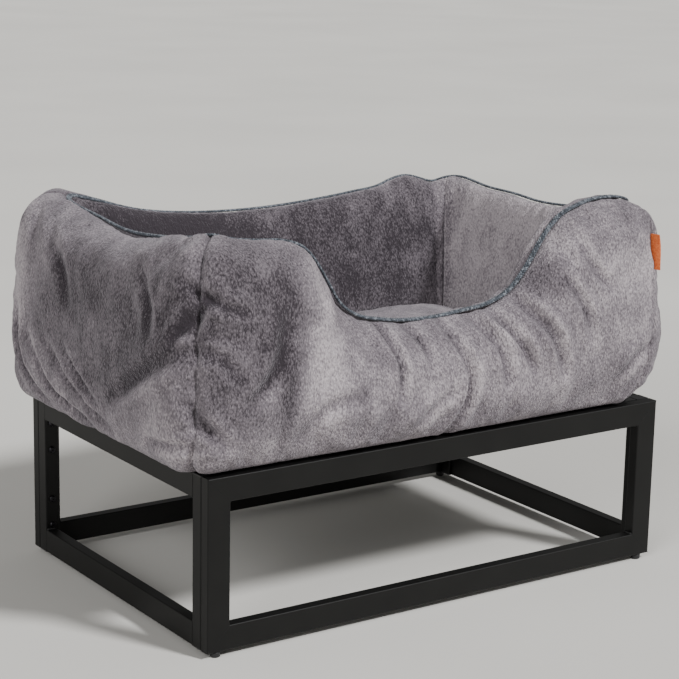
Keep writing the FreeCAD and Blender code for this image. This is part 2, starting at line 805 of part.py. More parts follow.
def seam_point(height):
    """A point of the front right corner seam."""
    out = wall_reach(height)
    return FreeCAD.Vector(half_length + out, -half_depth - out, wall_low + height)


# The tag leans with the seam: its long edge follows the seam and its width points to +X.
tag = doc.addObject("Part::Box", "side_tag")
tag.Label = "side_tag"
tag.setExpression("Length", "sheet.tag_width")
tag.setExpression("Width", "sheet.tag_thick")
tag.setExpression("Height", "sheet.tag_length")
tag_low = size("sheet.tag_height")
seam_low = seam_point(tag_low)
up_seam = (seam_point(tag_low + size("sheet.tag_length")) - seam_low).normalize()
through_tag = up_seam.cross(X_AXIS).normalize()
out_of_seam = through_tag.cross(up_seam)
turn = FreeCAD.Rotation(out_of_seam, through_tag, up_seam, "ZXY")
tag.Placement = FreeCAD.Placement(seam_low + out_of_seam * size("sheet.tag_gap"), turn)
keep(tag)

# ---------------------------------------------------------------- cushion and zip


def rounded_pillow(label, inset):
    """A box with every edge rounded, shrunk by inset all round, standing on z = inset."""
    body = new_body(label)
    plan = new_sketch(body, "XY_Plane")
    length = f"2 * (sheet.cushion_half_length - {inset})"
    depth = f"2 * (sheet.cushion_half_depth - {inset})"
    draw_rectangle(plan, length, depth)
    base = pad_up(body, plan, f"sheet.cushion_thick - 2 * {inset}")
    round_edges(body, base, f"sheet.cushion_round - {inset}", lambda edge: True)
    return body


cushion_low = foam_top + size("sheet.base_cloth + sheet.bed_clearance")
cushion_whole = rounded_pillow("cushion_whole", "0")
cushion_whole.Placement = at(0, 0, cushion_low)
filling = keep(rounded_pillow("cushion_filling", "sheet.cushion_cloth"))
filling.Placement = at(0, 0, cushion_low + size("sheet.cushion_cloth"))
cushion_cover = doc.addObject("Part::Cut", "cushion_cover")
cushion_cover.Label = "cushion_cover"
cushion_cover.Base = cushion_whole
cushion_cover.Tool = filling
keep(cushion_cover)

zip_middle = cushion_low + size("sheet.cushion_thick / 2")
cushion_back = size("sheet.cushion_half_depth")
tape_middle = cushion_back + size("sheet.zip_thick / 2")
coil_back = cushion_back + size("sheet.zip_thick + sheet.coil_thick")
keep(
    plain_box(
        "cushion_zip_tape",
        "sheet.zip_length",
        "sheet.zip_thick",
        "sheet.zip_width",
        (0, tape_middle, zip_middle - size("sheet.zip_width / 2")),
    )
)
keep(
    plain_box(
        "cushion_zip_coil",
        "sheet.zip_length",
        "sheet.coil_thick",
        "sheet.coil_width",
        (0, coil_back - size("sheet.coil_thick / 2"), zip_middle - size("sheet.coil_width / 2")),
    )
)
slider_x = -size("sheet.zip_length / 2") + size("sheet.slider_inset")
slider_y = coil_back + size("sheet.slider_gap + sheet.slider_thick / 2")
keep(
    plain_box(
        "zip_slider",
        "sheet.slider_length",
        "sheet.slider_thick",
        "sheet.slider_width",
        (slider_x, slider_y, zip_middle - size("sheet.slider_width / 2")),
    )
)
pull_top = zip_middle - size("sheet.slider_width / 2")
keep(
    plain_box(
        "zip_pull",
        "sheet.pull_width",
        "sheet.pull_thick",
        "sheet.pull_length",
        (slider_x, slider_y, pull_top - size("sheet.pull_length")),
    )
)

# ---------------------------------------------------------------- checks and export

doc.recompute()
for item in doc.Objects:
    if "Invalid" in item.State or "Error" in item.State:
        raise ValueError(f"{item.Label} failed: {item.State}")
for subpart in subparts:
    shape = subpart.Shape
    if shape.isNull() or not shape.isValid() or not shape.Solids:
        raise ValueError(f"{subpart.Label} has no valid solid")

os.makedirs("parts", exist_ok=True)
for subpart in subparts:
    subpart.Shape.exportStep(f"parts/{subpart.Label}.step")
    print(f"{subpart.Label}: {len(subpart.Shape.Solids)} solids, {subpart.Shape.Volume / 1000:.1f} cm3")
print(f"{len(subparts)} sub-parts")
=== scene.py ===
# %% [markdown]
# # A dog bed on a steel stand
#
# A padded plush bed sits on a welded and bolted stand of black steel tube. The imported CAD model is
# loaded as a fixed frame. The hard parts keep their CAD shape and get real finishes here. The soft
# parts are modelled again as what they are: stuffed cloth with seams, folds and a nap.

import math

import bpy
import numpy as np
from mathutils import Matrix, Vector


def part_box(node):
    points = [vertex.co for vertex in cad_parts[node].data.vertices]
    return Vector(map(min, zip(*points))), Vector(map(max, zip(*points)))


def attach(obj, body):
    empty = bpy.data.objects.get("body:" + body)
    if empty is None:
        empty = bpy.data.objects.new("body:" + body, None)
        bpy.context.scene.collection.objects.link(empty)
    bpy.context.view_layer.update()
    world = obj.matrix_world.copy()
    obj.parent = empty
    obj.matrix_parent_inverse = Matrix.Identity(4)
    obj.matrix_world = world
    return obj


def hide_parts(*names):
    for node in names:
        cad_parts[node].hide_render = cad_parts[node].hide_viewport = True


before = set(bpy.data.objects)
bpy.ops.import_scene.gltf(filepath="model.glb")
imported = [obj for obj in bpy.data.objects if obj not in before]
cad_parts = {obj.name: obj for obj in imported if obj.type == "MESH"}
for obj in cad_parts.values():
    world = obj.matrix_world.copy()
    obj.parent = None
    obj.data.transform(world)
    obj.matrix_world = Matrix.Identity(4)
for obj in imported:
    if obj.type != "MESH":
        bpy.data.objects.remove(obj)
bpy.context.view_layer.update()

# %% [markdown]
# ## The camera
#
# A long lens from a little above the bed's front left corner keeps the rails nearly parallel. The
# three directions of the camera are worked out from how far it is turned, tipped and rolled,
# because that is easier to adjust than one matrix.

# %% Camera
LENS = 106.6
CAMERA_PLACE = Vector((-1.910, -2.7505, 1.185))
turn = math.radians(34.56)
tip = math.radians(13.41)
roll = math.radians(1.18)

ahead = Vector((math.sin(turn) * math.cos(tip), math.cos(turn) * math.cos(tip), -math.sin(tip)))
level_right = Vector((math.cos(turn), -math.sin(turn), 0))
level_up = level_right.cross(ahead)
camera_right = level_right * math.cos(roll) + level_up * math.sin(roll)
camera_up = level_up * math.cos(roll) - level_right * math.sin(roll)

lens_data = bpy.data.cameras.new("camera")
lens_data.lens = LENS
lens_data.sensor_width = 36
lens_data.clip_start = 0.1
lens_data.clip_end = 200
camera = bpy.data.objects.new("camera", lens_data)
bpy.context.scene.collection.objects.link(camera)
axes = Matrix((camera_right, camera_up, -ahead)).transposed()
camera.matrix_world = Matrix.Translation(CAMERA_PLACE) @ axes.to_4x4()
bpy.context.scene.camera = camera
print("camera at", [round(v, 3) for v in CAMERA_PLACE])

# %% [markdown]
# ## Small helpers for materials
#
# Colours are written as they would be picked from a paint chart, so one function turns them into
# the linear values that the shader needs. One more function adds a node and joins it up, which
# keeps each finish readable as a list of what it is made of.

# %% Colour, node and material helpers
def linear(hex_colour):
    """An sRGB colour such as "808080" as linear red, green, blue and alpha."""
    parts = [int(hex_colour[i:i + 2], 16) / 255 for i in (0, 2, 4)]
    parts = [c / 12.92 if c <= 0.04045 else ((c + 0.055) / 1.055) ** 2.4 for c in parts]
    return (*parts, 1.0)


def add_node(tree, kind, sockets=None, **settings):
    """Adds a node, sets it, and gives its sockets a value or a link."""
    node = tree.nodes.new(kind)
    for name, value in settings.items():
        setattr(node, name, value)
    for name, value in (sockets or {}).items():
        if isinstance(value, bpy.types.NodeSocket):
            tree.links.new(value, node.inputs[name])
        else:
            node.inputs[name].default_value = value
    return node


def new_finish(name, **shader):
    """A material with one Principled shader. Returns the material, its tree, shader and place."""
    finish = bpy.data.materials.new(name)
    finish.use_nodes = True
    tree = finish.node_tree
    tree.nodes.clear()
    values = {key.replace("_", " ").title().replace("Ior", "IOR"): value
              for key, value in shader.items()}
    surface = add_node(tree, "ShaderNodeBsdfPrincipled", values)
    add_node(tree, "ShaderNodeOutputMaterial", {"Surface": surface.outputs["BSDF"]})
    place = add_node(tree, "ShaderNodeTexCoord").outputs["Object"]
    return finish, tree, surface, place


def noise(tree, place, size_mm, detail=2.0, stretch=(1, 1, 1)):
    """Noise whose blotches are about size_mm across, as its factor socket."""
    mapped = add_node(tree, "ShaderNodeMapping", {"Vector": place, "Scale": stretch})
    per_metre = 1000 / size_mm
    made = add_node(tree, "ShaderNodeTexNoise",
                    {"Vector": mapped.outputs["Vector"], "Scale": per_metre, "Detail": detail})
    return made.outputs["Fac"]


def shades(tree, factor, *stops):
    """A colour ramp through (position, hex colour) stops, as its colour socket."""
    ramp = add_node(tree, "ShaderNodeValToRGB", {"Fac": factor})
    while len(ramp.color_ramp.elements) < len(stops):
        ramp.color_ramp.elements.new(0.5)
    for element, (position, hex_colour) in zip(ramp.color_ramp.elements, stops):
        element.position = position
        element.color = linear(hex_colour)
    return ramp.outputs["Color"]


def bump(tree, height, depth_mm, strength=1.0, under=None):
    """A bump of that depth from a height socket, on top of another bump."""
    sockets = {"Height": height, "Distance": depth_mm / 1000, "Strength": strength}
    if under is not None:
        sockets["Normal"] = under
    return add_node(tree, "ShaderNodeBump", sockets).outputs["Normal"]


def mixed(tree, operation, first, second):
    """One maths step between two sockets or numbers."""
    made = add_node(tree, "ShaderNodeMath", {0: first, 1: second}, operation=operation)
    return made.outputs["Value"]


def dress(tree, surface, colour, normal):
    """Joins a colour and a bump to the shader."""
    tree.links.new(colour, surface.inputs["Base Color"])
    tree.links.new(normal, surface.inputs["Normal"])


def grained(name, blotch_mm, detail, stops, grain_mm, depth_mm, strength, grain_detail=2.0,
            **shader):
    """A finish with blotches of colour and one fine grain."""
    finish, tree, surface, place = new_finish(name, **shader)
    colour = shades(tree, noise(tree, place, blotch_mm, detail), *stops)
    grain = noise(tree, place, grain_mm, detail=grain_detail)
    dress(tree, surface, colour, bump(tree, grain, depth_mm, strength))
    return finish


print("grey 808080 is", [round(v, 3) for v in linear("808080")])

# %% [markdown]
# ## The studio
#
# The floor is a wide plain pale sheet. A large soft sun from the front right and above is the key
# light, a weaker one from the left fills the shadows, and a pale sky stands in for white walls.

# %% Floor and lights
bpy.ops.object.select_all(action="DESELECT")
bpy.ops.mesh.primitive_plane_add(size=90)
floor = bpy.context.object
floor.name = "studio_floor"
floor_finish, tree, surface, place = new_finish("matt_studio_paper", roughness=0.9)
paper = shades(tree, noise(tree, place, 900), (0.3, "d2d0cb"), (0.7, "d9d7d2"))
tree.links.new(paper, surface.inputs["Base Color"])
floor.data.materials.append(floor_finish)

world = bpy.data.worlds.new("studio_sky")
bpy.context.scene.world = world
world.use_nodes = True
sky = world.node_tree.nodes["Background"]
sky.inputs["Color"].default_value = linear("f3f2ef")
sky.inputs["Strength"].default_value = 0.30


def soft_sun(name, towards, strength, spread_degrees):
    """A sun that shines along a direction, with soft edged shadows."""
    light = bpy.data.lights.new(name, "SUN")
    light.energy = strength
    light.angle = math.radians(spread_degrees)
    holder = bpy.data.objects.new(name, light)
    holder.rotation_mode = "QUATERNION"
    holder.rotation_quaternion = Vector(towards).to_track_quat("-Z", "Y")
    bpy.context.scene.collection.objects.link(holder)
    return holder


soft_sun("key_light", (-0.34, 0.74, -0.76), 3.7, 9)
soft_sun("fill_light", (0.78, 0.40, -0.50), 1.5, 30)
print("floor and lights made")

# %% [markdown]
# ## Finishes of the stand
#
# The tubes are mild steel with a sprayed and baked powder coat. Powder melts into a skin with a
# fine orange peel, so the finish is a satin black plastic with small soft bumps, slightly greyer
# where the powder lies thin. The bolts are steel blackened in oil, the nuts and studs have a zinc
# plating, and the plugs and feet are moulded nylon.

# %% Powder-coated steel: sprayed, satin, with a fine orange peel
powder_coat, tree, surface, place = new_finish("powder_coated_steel", roughness=0.48,
                                               specular_ior_level=0.26, ior=1.5)
patches = noise(tree, place, 60, detail=4)
orange_peel = bump(tree, noise(tree, place, 1.6, detail=1), 0.06, 0.7)
dress(tree, surface, shades(tree, patches, (0.3, "090909"), (0.7, "0f0f0e")),
      bump(tree, noise(tree, place, 9), 0.05, 0.5, orange_peel))

# %% Blackened steel: forged, dipped in hot oxide, a little oily
blackened_steel = grained("blackened_steel", 4, 4, ((0.3, "242426"), (0.7, "3d3c3f")),
                          0.8, 0.03, 0.6, metallic=1.0, roughness=0.34)

# %% Zinc-plated steel: bright, with faint grey spangles
zinc_plate = grained("zinc_plated_steel", 2.5, 3, ((0.35, "a2a5a9"), (0.65, "c3c5c6")),
                     0.6, 0.02, 0.5, metallic=1.0, roughness=0.3)

# %% Moulded nylon: spark-eroded mould texture, dull sheen
black_nylon = grained("black_nylon", 5, 3, ((0.3, "121213"), (0.7, "1b1b1d")),
                      0.7, 0.05, 0.7, grain_detail=1, roughness=0.55, ior=1.53)

# %% Black-faced board: pressed melamine film, fine pebble
board = grained("black_faced_board", 90, 5, ((0.3, "121212"), (0.7, "191919")),
                1.2, 0.04, 0.6, grain_detail=1, roughness=0.5, ior=1.5)
print("hard finishes:", powder_coat.name, blackened_steel.name, zinc_plate.name, black_nylon.name)

# %% [markdown]
# ## The plush
#
# The cover is a short-pile plush, knitted polyester with its loops cut and brushed. Light goes into
# the pile and comes out at its edges, so it has a soft sheen and no gloss. Where a hand has stroked
# it the pile leans another way and the same cloth looks much darker or lighter, in patches as big
# as a palm. Two things draw that here: noise at three sizes, and an attribute that the walls carry.
# Besides the nap, that attribute holds painted shade along the fold grooves and on the inner back
# wall, and painted light on one side of each fold and on the inner right wall. Tufts about 3 mm
# wide and curls of 3.4 mm with dark gaps between them give the grain, as coarse as it must be to
# show.

# %% Grey plush: brushed cut pile
plush, tree, surface, place = new_finish("grey_plush", roughness=0.95, specular_ior_level=0.12,
                                         sheen_weight=0.38, sheen_roughness=0.45)
surface.inputs["Sheen Tint"].default_value = linear("d6d2d9")
swirl = add_node(tree, "ShaderNodeTexNoise", {"Vector": place, "Scale": 8.0, "Detail": 1.0})
push = add_node(tree, "ShaderNodeVectorMath", {0: swirl.outputs["Color"], 1: (0.07, 0.07, 0.07)},
                operation="MULTIPLY")
swirled = add_node(tree, "ShaderNodeVectorMath", {0: place, 1: push.outputs["Vector"]},
                   operation="ADD").outputs["Vector"]
palms = noise(tree, swirled, 85, detail=3)
strokes = noise(tree, swirled, 24, detail=3, stretch=(1, 1, 0.45))
tufts = noise(tree, place, 3.0, detail=2, stretch=(1, 1, 0.55))
fibres = noise(tree, place, 1.5, detail=2, stretch=(1, 1, 0.4))
curl_place = add_node(tree, "ShaderNodeMapping", {"Vector": place, "Scale": (1, 1, 0.6)})
curls = add_node(tree, "ShaderNodeTexVoronoi",
                 {"Vector": curl_place.outputs["Vector"], "Scale": 1000 / 3.4}).outputs["Distance"]
# The walls' attribute: nap patches together with painted shade and painted highlight.
nap_and_painted_light = add_node(tree, "ShaderNodeAttribute", attribute_name="nap_and_painted_light").outputs["Fac"]
tone = -0.44
for part, weight in ((palms, 0.60), (strokes, 0.45), (nap_and_painted_light, 0.40), (tufts, 0.55), (fibres, 0.60),
                     (curls, -0.36)):
    tone = mixed(tree, "ADD", mixed(tree, "MULTIPLY", part, weight), tone)
plush_colour = shades(tree, tone, (0.05, "363136"), (0.5, "797278"), (0.95, "bcb3b7"))
pile = bump(tree, palms, 3.0, 0.5)
pile = bump(tree, strokes, 2.0, 0.6, pile)
pile = bump(tree, tufts, 2.6, 1.0, pile)
pile = bump(tree, mixed(tree, "SUBTRACT", 1.0, curls), 1.6, 0.8, pile)
dress(tree, surface, plush_colour, bump(tree, fibres, 1.2, 0.8, pile))
print("plush sheen", round(surface.inputs["Sheen Weight"].default_value, 2))

# %% [markdown]
# ## Trims and small finishes
#
# The crest braid is plaited from slate blue yarn with a few pale threads. The side tag is a woven
# label left blank. The bed's underside is a coarse black cloth with rubber dots. The zip has a
# woven tape, a nylon coil and a die-cast slider.

# %% Yarn of the braid: spun polyester, pale threads among slate ones
slate_braid, tree, surface, place = new_finish("slate_braid", roughness=0.8, sheen_weight=0.2,
                                               specular_ior_level=0.25)
threads = noise(tree, place, 4.5, detail=3)
yarn_colour = shades(tree, threads, (0.38, "353a41"), (0.54, "565c65"), (0.70, "8f949b"))
dress(tree, surface, yarn_colour, bump(tree, noise(tree, place, 0.6), 0.25, 0.8))

# %% Woven label: fine orange weft over a warp, drawn at 1.2 mm so that it shows
orange_label, tree, surface, place = new_finish("orange_label", roughness=0.75, sheen_weight=0.15,
                                                specular_ior_level=0.25)
picks = add_node(tree, "ShaderNodeTexWave", {"Vector": place, "Scale": 260.0, "Distortion": 0.6},
                 bands_direction="Z").outputs["Fac"]
weft = mixed(tree, "ADD", mixed(tree, "MULTIPLY", picks, 0.5), noise(tree, place, 3, detail=3))
dress(tree, surface, shades(tree, weft, (0.3, "a83f14"), (0.75, "d9632a"), (1.0, "e98a55")),
      bump(tree, picks, 0.15, 0.7))

# %% Non-slip cloth: coarse woven polyester
non_slip, tree, surface, place = new_finish("non_slip_cloth", roughness=0.9, specular_ior_level=0.2)
across = add_node(tree, "ShaderNodeTexWave", {"Vector": place, "Scale": 160.0},
                  bands_direction="X").outputs["Fac"]
along = add_node(tree, "ShaderNodeTexWave", {"Vector": place, "Scale": 160.0},
                 bands_direction="Y").outputs["Fac"]
weave = mixed(tree, "MULTIPLY", across, along)
dress(tree, surface, shades(tree, weave, (0.0, "18181a"), (0.8, "2d2d30")),
      bump(tree, weave, 0.4, 0.8))

# %% Rubber of the dots: poured and cured, matt with a soft shine
rubber = grained("black_rubber_dots", 2, 2.0, ((0.3, "0d0d0e"), (0.7, "1a1a1b")),
                 0.8, 0.05, 0.5, roughness=0.6, ior=1.52)

# %% Zip tape: twill woven, grey
zip_tape, tree, surface, place = new_finish("zip_tape", roughness=0.85, specular_ior_level=0.2)
ribs = add_node(tree, "ShaderNodeTexWave", {"Vector": place, "Scale": 200.0},
                bands_direction="DIAGONAL").outputs["Fac"]
dress(tree, surface, shades(tree, ribs, (0.1, "555056"), (0.9, "787277")),
      bump(tree, ribs, 0.2, 0.8))

# %% Zip coil: drawn nylon thread
zip_coil = grained("zip_coil", 3, 2.0, ((0.3, "4e494e"), (0.7, "656065")),
                   0.5, 0.03, 0.5, roughness=0.4, ior=1.53)

# %% Zip metal: die-cast zinc, tumbled, with a smoky nickel plating
zip_metal = grained("zip_metal", 3, 4, ((0.3, "6e6d70"), (0.7, "908f91")),
                    0.5, 0.03, 0.5, metallic=1.0, roughness=0.3)
print("soft finishes:", plush.name, slate_braid.name, orange_label.name, non_slip.name)

# %% [markdown]
# ## The stand keeps its CAD shape
#
# Every hard CAD node is already the right shape, so it only gets its real finish. The slot name
# that the node came with says which finish that is.

# %% Finishes for the CAD nodes
FINISH_OF_SLOT = {
    "powder_coated_steel": powder_coat,
    "blackened_steel": blackened_steel,
    "zinc_plated_steel": zinc_plate,
    "black_nylon": black_nylon,
    "black_faced_board": board,
}
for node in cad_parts.values():
    for slot in node.material_slots:
        finish = FINISH_OF_SLOT.get(slot.material.name.split(".")[0])
        if finish:
            slot.material = finish
print(len(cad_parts), "CAD nodes looked at")

# %% [markdown]
# ## Small helpers for modelling
#
# Each helper does what a modeller does by hand between two steps: clear the selection, apply a
# modifier, give a finished piece its name, finish and body.

# %% Modelling helpers
def start_clean():
    """Leaves nothing selected, because an operator acts on all that is selected."""
    bpy.ops.object.select_all(action="DESELECT")


def only(piece):
    """Selects one piece and makes it the active one."""
    start_clean()
    piece.select_set(True)
    bpy.context.view_layer.objects.active = piece


def with_modifier(piece, kind, **settings):
    """Adds a modifier, sets it and applies it."""
    only(piece)
    modifier = piece.modifiers.new(kind.lower(), kind)
    for name, value in settings.items():
        setattr(modifier, name, value)
    bpy.ops.object.modifier_apply(modifier=modifier.name)


def points_of(piece):
    """The places of a mesh's points, one row each."""
    flat = np.empty(len(piece.data.vertices) * 3)
    piece.data.vertices.foreach_get("co", flat)
    return flat.reshape(-1, 3)


def move_points(piece, points):
    """Puts a mesh's points at new places."""
    piece.data.vertices.foreach_set("co", np.ascontiguousarray(points, float).ravel())
    piece.data.update()


def normals_of(piece):
    """The direction each point of a mesh faces, one row each."""
    flat = np.empty(len(piece.data.vertices) * 3)
    piece.data.vertex_normals.foreach_get("vector", flat)
    return flat.reshape(-1, 3)


def smooth(piece, degrees=45):
    """Shades a piece smooth, but keeps the edges that are sharper than that."""
    only(piece)
    bpy.ops.object.shade_smooth_by_angle(angle=math.radians(degrees))


def install(piece, name, finish, body, slot, *nodes):
    """Names a finished piece, gives it its finish and body, and hides the nodes it stands for."""
    piece.name = name
    piece.data.name = name
    if finish and not piece.data.materials:
        piece.data.materials.append(finish)
    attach(piece, body)
    if nodes:
        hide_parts(*nodes)
    triangles = sum(len(face.vertices) - 2 for face in piece.data.polygons)
    print(name, "has", triangles, "triangles")


def weigh(piece, name, amounts):
    """Gives a piece a vertex group with that amount, 0 to 1 in steps of 0.1, at each point."""
    group = piece.vertex_groups.new(name=name)
    for level in np.unique(np.round(amounts, 1)):
        group.add(np.flatnonzero(np.round(amounts, 1) == level).tolist(), float(level), "REPLACE")


def resize(piece, value, chosen=lambda at: True):
    """Resizes a piece in edit mode, or only those of its points that are chosen by their place."""
    only(piece)
    bpy.ops.object.mode_set(mode="EDIT")
    bpy.ops.mesh.select_mode(type="VERT")
    bpy.ops.mesh.select_all(action="DESELECT")
    bpy.ops.object.mode_set(mode="OBJECT")
    for point in piece.data.vertices:
        point.select = chosen(point.co)
    bpy.ops.object.mode_set(mode="EDIT")
    bpy.ops.transform.resize(value=value)
    bpy.ops.object.mode_set(mode="OBJECT")


def joined(pieces):
    """Joins pieces into the first one."""
    only(pieces[0])
    for piece in pieces[1:]:
        piece.select_set(True)
    bpy.ops.object.join()
    return bpy.context.object


def eased(value, low, high):
    """0 below low, 1 above high, and an S-shaped rise between them."""
    share = np.clip((value - low) / (high - low), 0, 1)
    return share * share * (3 - 2 * share)


# %% [markdown]
# ## Welds on the stand
#
# The tubes are welded before they are coated. A fillet bead fills each inner corner and the welds
# on the flat outer faces are ground down to a faint raised line. One bead is a cylinder cut into
# slices, with a ripple to each slice, sunk in the corner so that a quarter of it shows. It is
# modelled once and copied to every corner.

# %% One weld bead, and copies of it
BEAD_RADIUS = 0.0032
RIPPLE = 0.0016


def copies(piece, places):
    """Copies a piece, mesh and all, to every (place, turn), and joins the copies."""
    made = []
    for place, turned in places:
        copy = piece.copy()
        copy.data = piece.data.copy()
        bpy.context.scene.collection.objects.link(copy)
        copy.location = place
        copy.rotation_euler = turned
        made.append(copy)
    start_clean()
    for copy in made:
        copy.select_set(True)
    bpy.context.view_layer.objects.active = made[0]
    bpy.ops.object.transform_apply(location=True, rotation=True, scale=True)
    bpy.ops.object.join()
    bpy.data.objects.remove(piece)
    return bpy.context.object


tube_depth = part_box("front_top_rail")[1].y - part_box("front_top_rail")[0].y
bead_length = tube_depth - 0.002
start_clean()
bpy.ops.mesh.primitive_cylinder_add(vertices=16, radius=BEAD_RADIUS, depth=bead_length)
bead = bpy.context.object
bpy.ops.object.mode_set(mode="EDIT")
slices = int(bead_length / RIPPLE * 4)
for number in range(1, slices):
    bpy.ops.mesh.select_all(action="SELECT")
    bpy.ops.mesh.bisect(plane_co=(0, 0, bead_length * (number / slices - 0.5)), plane_no=(0, 0, 1))
bpy.ops.object.mode_set(mode="OBJECT")
skin = points_of(bead)
wave = 0.84 + 0.16 * np.abs(np.cos(np.pi * skin[:, 2] / RIPPLE))
ends = 1 - 0.5 * eased(np.abs(skin[:, 2]), bead_length / 2 - 0.0025, bead_length / 2)
skin[:, :2] *= (wave * ends)[:, None]
move_points(bead, skin)

upright_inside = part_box("front_right_upright")[0].x
post_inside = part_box("left_end_back_post")[0].y
rail_tops = (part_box("front_bottom_rail")[1].z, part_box("front_top_rail")[0].z)
loop_middle = -(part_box("front_top_rail")[0].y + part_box("front_top_rail")[1].y) / 2
end_middle = (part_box("right_end_top_rail")[0].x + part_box("right_end_top_rail")[1].x) / 2
quarter = math.pi / 2
corners = [((x, y, z), (quarter, 0, 0)) for x in (-upright_inside, upright_inside)
           for y in (-loop_middle, loop_middle) for z in rail_tops]
corners += [((x, y, z), (0, quarter, 0)) for x in (-end_middle, end_middle)
            for y in (-post_inside, post_inside) for z in rail_tops]
beads = copies(bead, corners)
smooth(beads, 40)
install(beads, "weld_beads", powder_coat, "stand", "powder_coated_steel")

# %% Ground welds: a raised line across each mitre of the loops, and where end rails meet posts
LINE_WIDTH = 0.0014
LINE_RISE = 0.00018
rail_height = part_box("front_top_rail")[1].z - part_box("front_top_rail")[0].z


def ground_weld(length):
    """A low rounded line, lying along X with its raised side towards -Y."""
    start_clean()
    bpy.ops.mesh.primitive_cylinder_add(vertices=12, radius=LINE_WIDTH / 2, depth=length,
                                        rotation=(0, quarter, 0))
    line = bpy.context.object
    line.scale = (LINE_RISE / LINE_WIDTH * 2, 1, 1)
    bpy.ops.object.transform_apply(location=True, rotation=True, scale=True)
    skin = points_of(line)
    skin = skin[:, [0, 2, 1]] if np.ptp(skin[:, 1]) > np.ptp(skin[:, 2]) else skin
    move_points(line, skin)
    return line


face_y = -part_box("front_top_rail")[0].y
outer_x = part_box("front_top_rail")[1].x
rail_middles = (rail_tops[0] - rail_height / 2, rail_tops[1] + rail_height / 2)
mitre_middle = (upright_inside + outer_x) / 2
mitres = []
for x in (-1, 1):
    for y in (-1, 1):
        for z, slope in zip(rail_middles, (-1, 1)):
            mitres.append(((x * mitre_middle, y * face_y, z), (0, -slope * x * math.pi / 4, 0)))
mitre_lines = copies(ground_weld(rail_height * 1.38), mitres)
butts = []
for x in (-1, 1):
    for y in (-1, 1):
        for z in rail_middles:
            butts.append(((x * outer_x, y * post_inside, z), (0, quarter, quarter)))
butt_lines = copies(ground_weld(rail_height - 0.004), butts)
weld_lines = joined([mitre_lines, butt_lines])
smooth(weld_lines, 60)
install(weld_lines, "ground_welds", powder_coat, "stand", "powder_coated_steel")

# %% [markdown]
# ## The bed's wall, as a ring
#
# The wall is one stuffed ring sewn from four panels, one to a side. A cushion-like outer face rolls
# over a squarish shoulder to a seam under the crest braid, and inside the braid a small plush lip
# turns down to the lying space. The shape is easiest to describe as a section, drawn once from
# its corners, that travels round a rectangle with rounded corners while its crest rises and falls.
# So a flat grid is wrapped round that path by a function, as a tailor's pattern would be.

# %% Sizes that the wall takes from the frame
base_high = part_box("bed_underside")[1]
HALF_LENGTH = base_high.x
HALF_DEPTH = base_high.y
WALL_FOOT = base_high.z
PANEL_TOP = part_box("platform_panel")[1].z
WALL_THICKNESS = HALF_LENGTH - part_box("floor_foam")[1].x
print("wall from", round(WALL_FOOT, 4), "thick at the foot", round(WALL_THICKNESS, 4))

# %% The crest's height above the panel, at distances along each side, in millimetres
CREST = (
    ("front", ((-444, 362), (-400, 355), (-345, 349), (-302, 345), (-262, 328), (-228, 286))),
    ("front", ((-200, 242), (-165, 217), (-110, 203), (-20, 195), (60, 200), (120, 207))),
    ("front", ((168, 228), (200, 260), (232, 305), (264, 336), (304, 352), (390, 361), (444, 350))),
    ("right", ((-240, 336), (-110, 315), (-60, 311), (0, 309), (70, 313), (150, 314), (284, 320))),
    ("back", ((405, 311), (370, 320), (340, 327), (308, 323), (275, 312), (215, 305), (130, 297))),
    ("back", ((-50, 290), (-250, 304), (-444, 352))),
    ("left", ((200, 344), (110, 338), (20, 331), (-110, 338), (-220, 352))),
)
SIDES = ("front", "right", "back", "left")
SIDE_START = dict(zip(SIDES, (0, 888, 1456, 2344)))
AROUND = 2912


def walked(side, place):
    """Distance round the bed, in millimetres, of a place along a side."""
    along = {"front": place + 444, "right": place + 284, "back": 444 - place, "left": 284 - place}
    return SIDE_START[side] + along[side]


def crest_height(distance):
    """The crest's height at distances round the bed: smooth between the listed points."""
    known = sorted((walked(side, place), top) for side, places in CREST for place, top in places)
    at = np.array([p for p, _ in known], float)
    tops = np.array([t for _, t in known], float)
    at = np.concatenate([at - AROUND, at, at + AROUND])
    tops = np.tile(tops, 3)
    slopes = np.gradient(tops, at)
    distance = np.asarray(distance, float)
    left = np.clip(np.searchsorted(at, distance, side="right") - 1, 0, len(at) - 2)
    gap = at[left + 1] - at[left]
    t = (distance - at[left]) / gap
    return ((1 + 2 * t) * (1 - t) ** 2 * tops[left] + t * (1 - t) ** 2 * gap * slopes[left]
            + t * t * (3 - 2 * t) * tops[left + 1] + t * t * (t - 1) * gap * slopes[left + 1])


print("crest heights in mm", crest_height([0, 444, 1456, 2344]).round())

# %% [markdown]
# ### The section
#
# Each corner of the section has an outward distance from the base line, and a height that is part
# fixed and part a share of the crest's height, so the low entry keeps the same round shoulder. The
# last number is how far the stuffing leans to the left, most at the foot: the bed sits a little off
# the middle of its stand, as soft things do.

# %% The section's corners: outward, fixed height, share of the crest, lean, all but the share in mm
SECTION = (
    (-20, -3, 1.00, 13),
    (-6, -6, 1.00, 13),
    (10, -17, 1.00, 13),
    (25, -42, 1.00, 14),
    (31, -30, 0.84, 14),
    (35, 0, 0.56, 15),
    (38, 0, 0.33, 16),
    (34, 3, 0.17, 20),
    (24, 6, 0.06, 26),
    (8, 3, 0.01, 30),
    (-12, 0, 0.00, 24),
    (-45, 0, 0.00, 10),
    (-80, 0, 0.00, 0),
    (-88, 10, 0.00, 0),
    (-86, 20, 0.06, 0),
    (-81, 0, 0.32, 1),
    (-75, 0, 0.55, 4),
    (-66, 0, 0.78, 8),
    (-56, -26, 0.98, 11),
    (-44, -9, 1.00, 12),
    (-33, -1, 1.00, 13),
)
ROUND_CELLS = 8
# Where the crest is rolled inwards, as along the left side, these corners move instead.
ROLLED = {0: (-38, -9), 1: (-24, -2), 2: (-5, -6), 3: (18, -28),
          20: (-46, -15), 19: (-53, -28), 18: (-59, -46)}
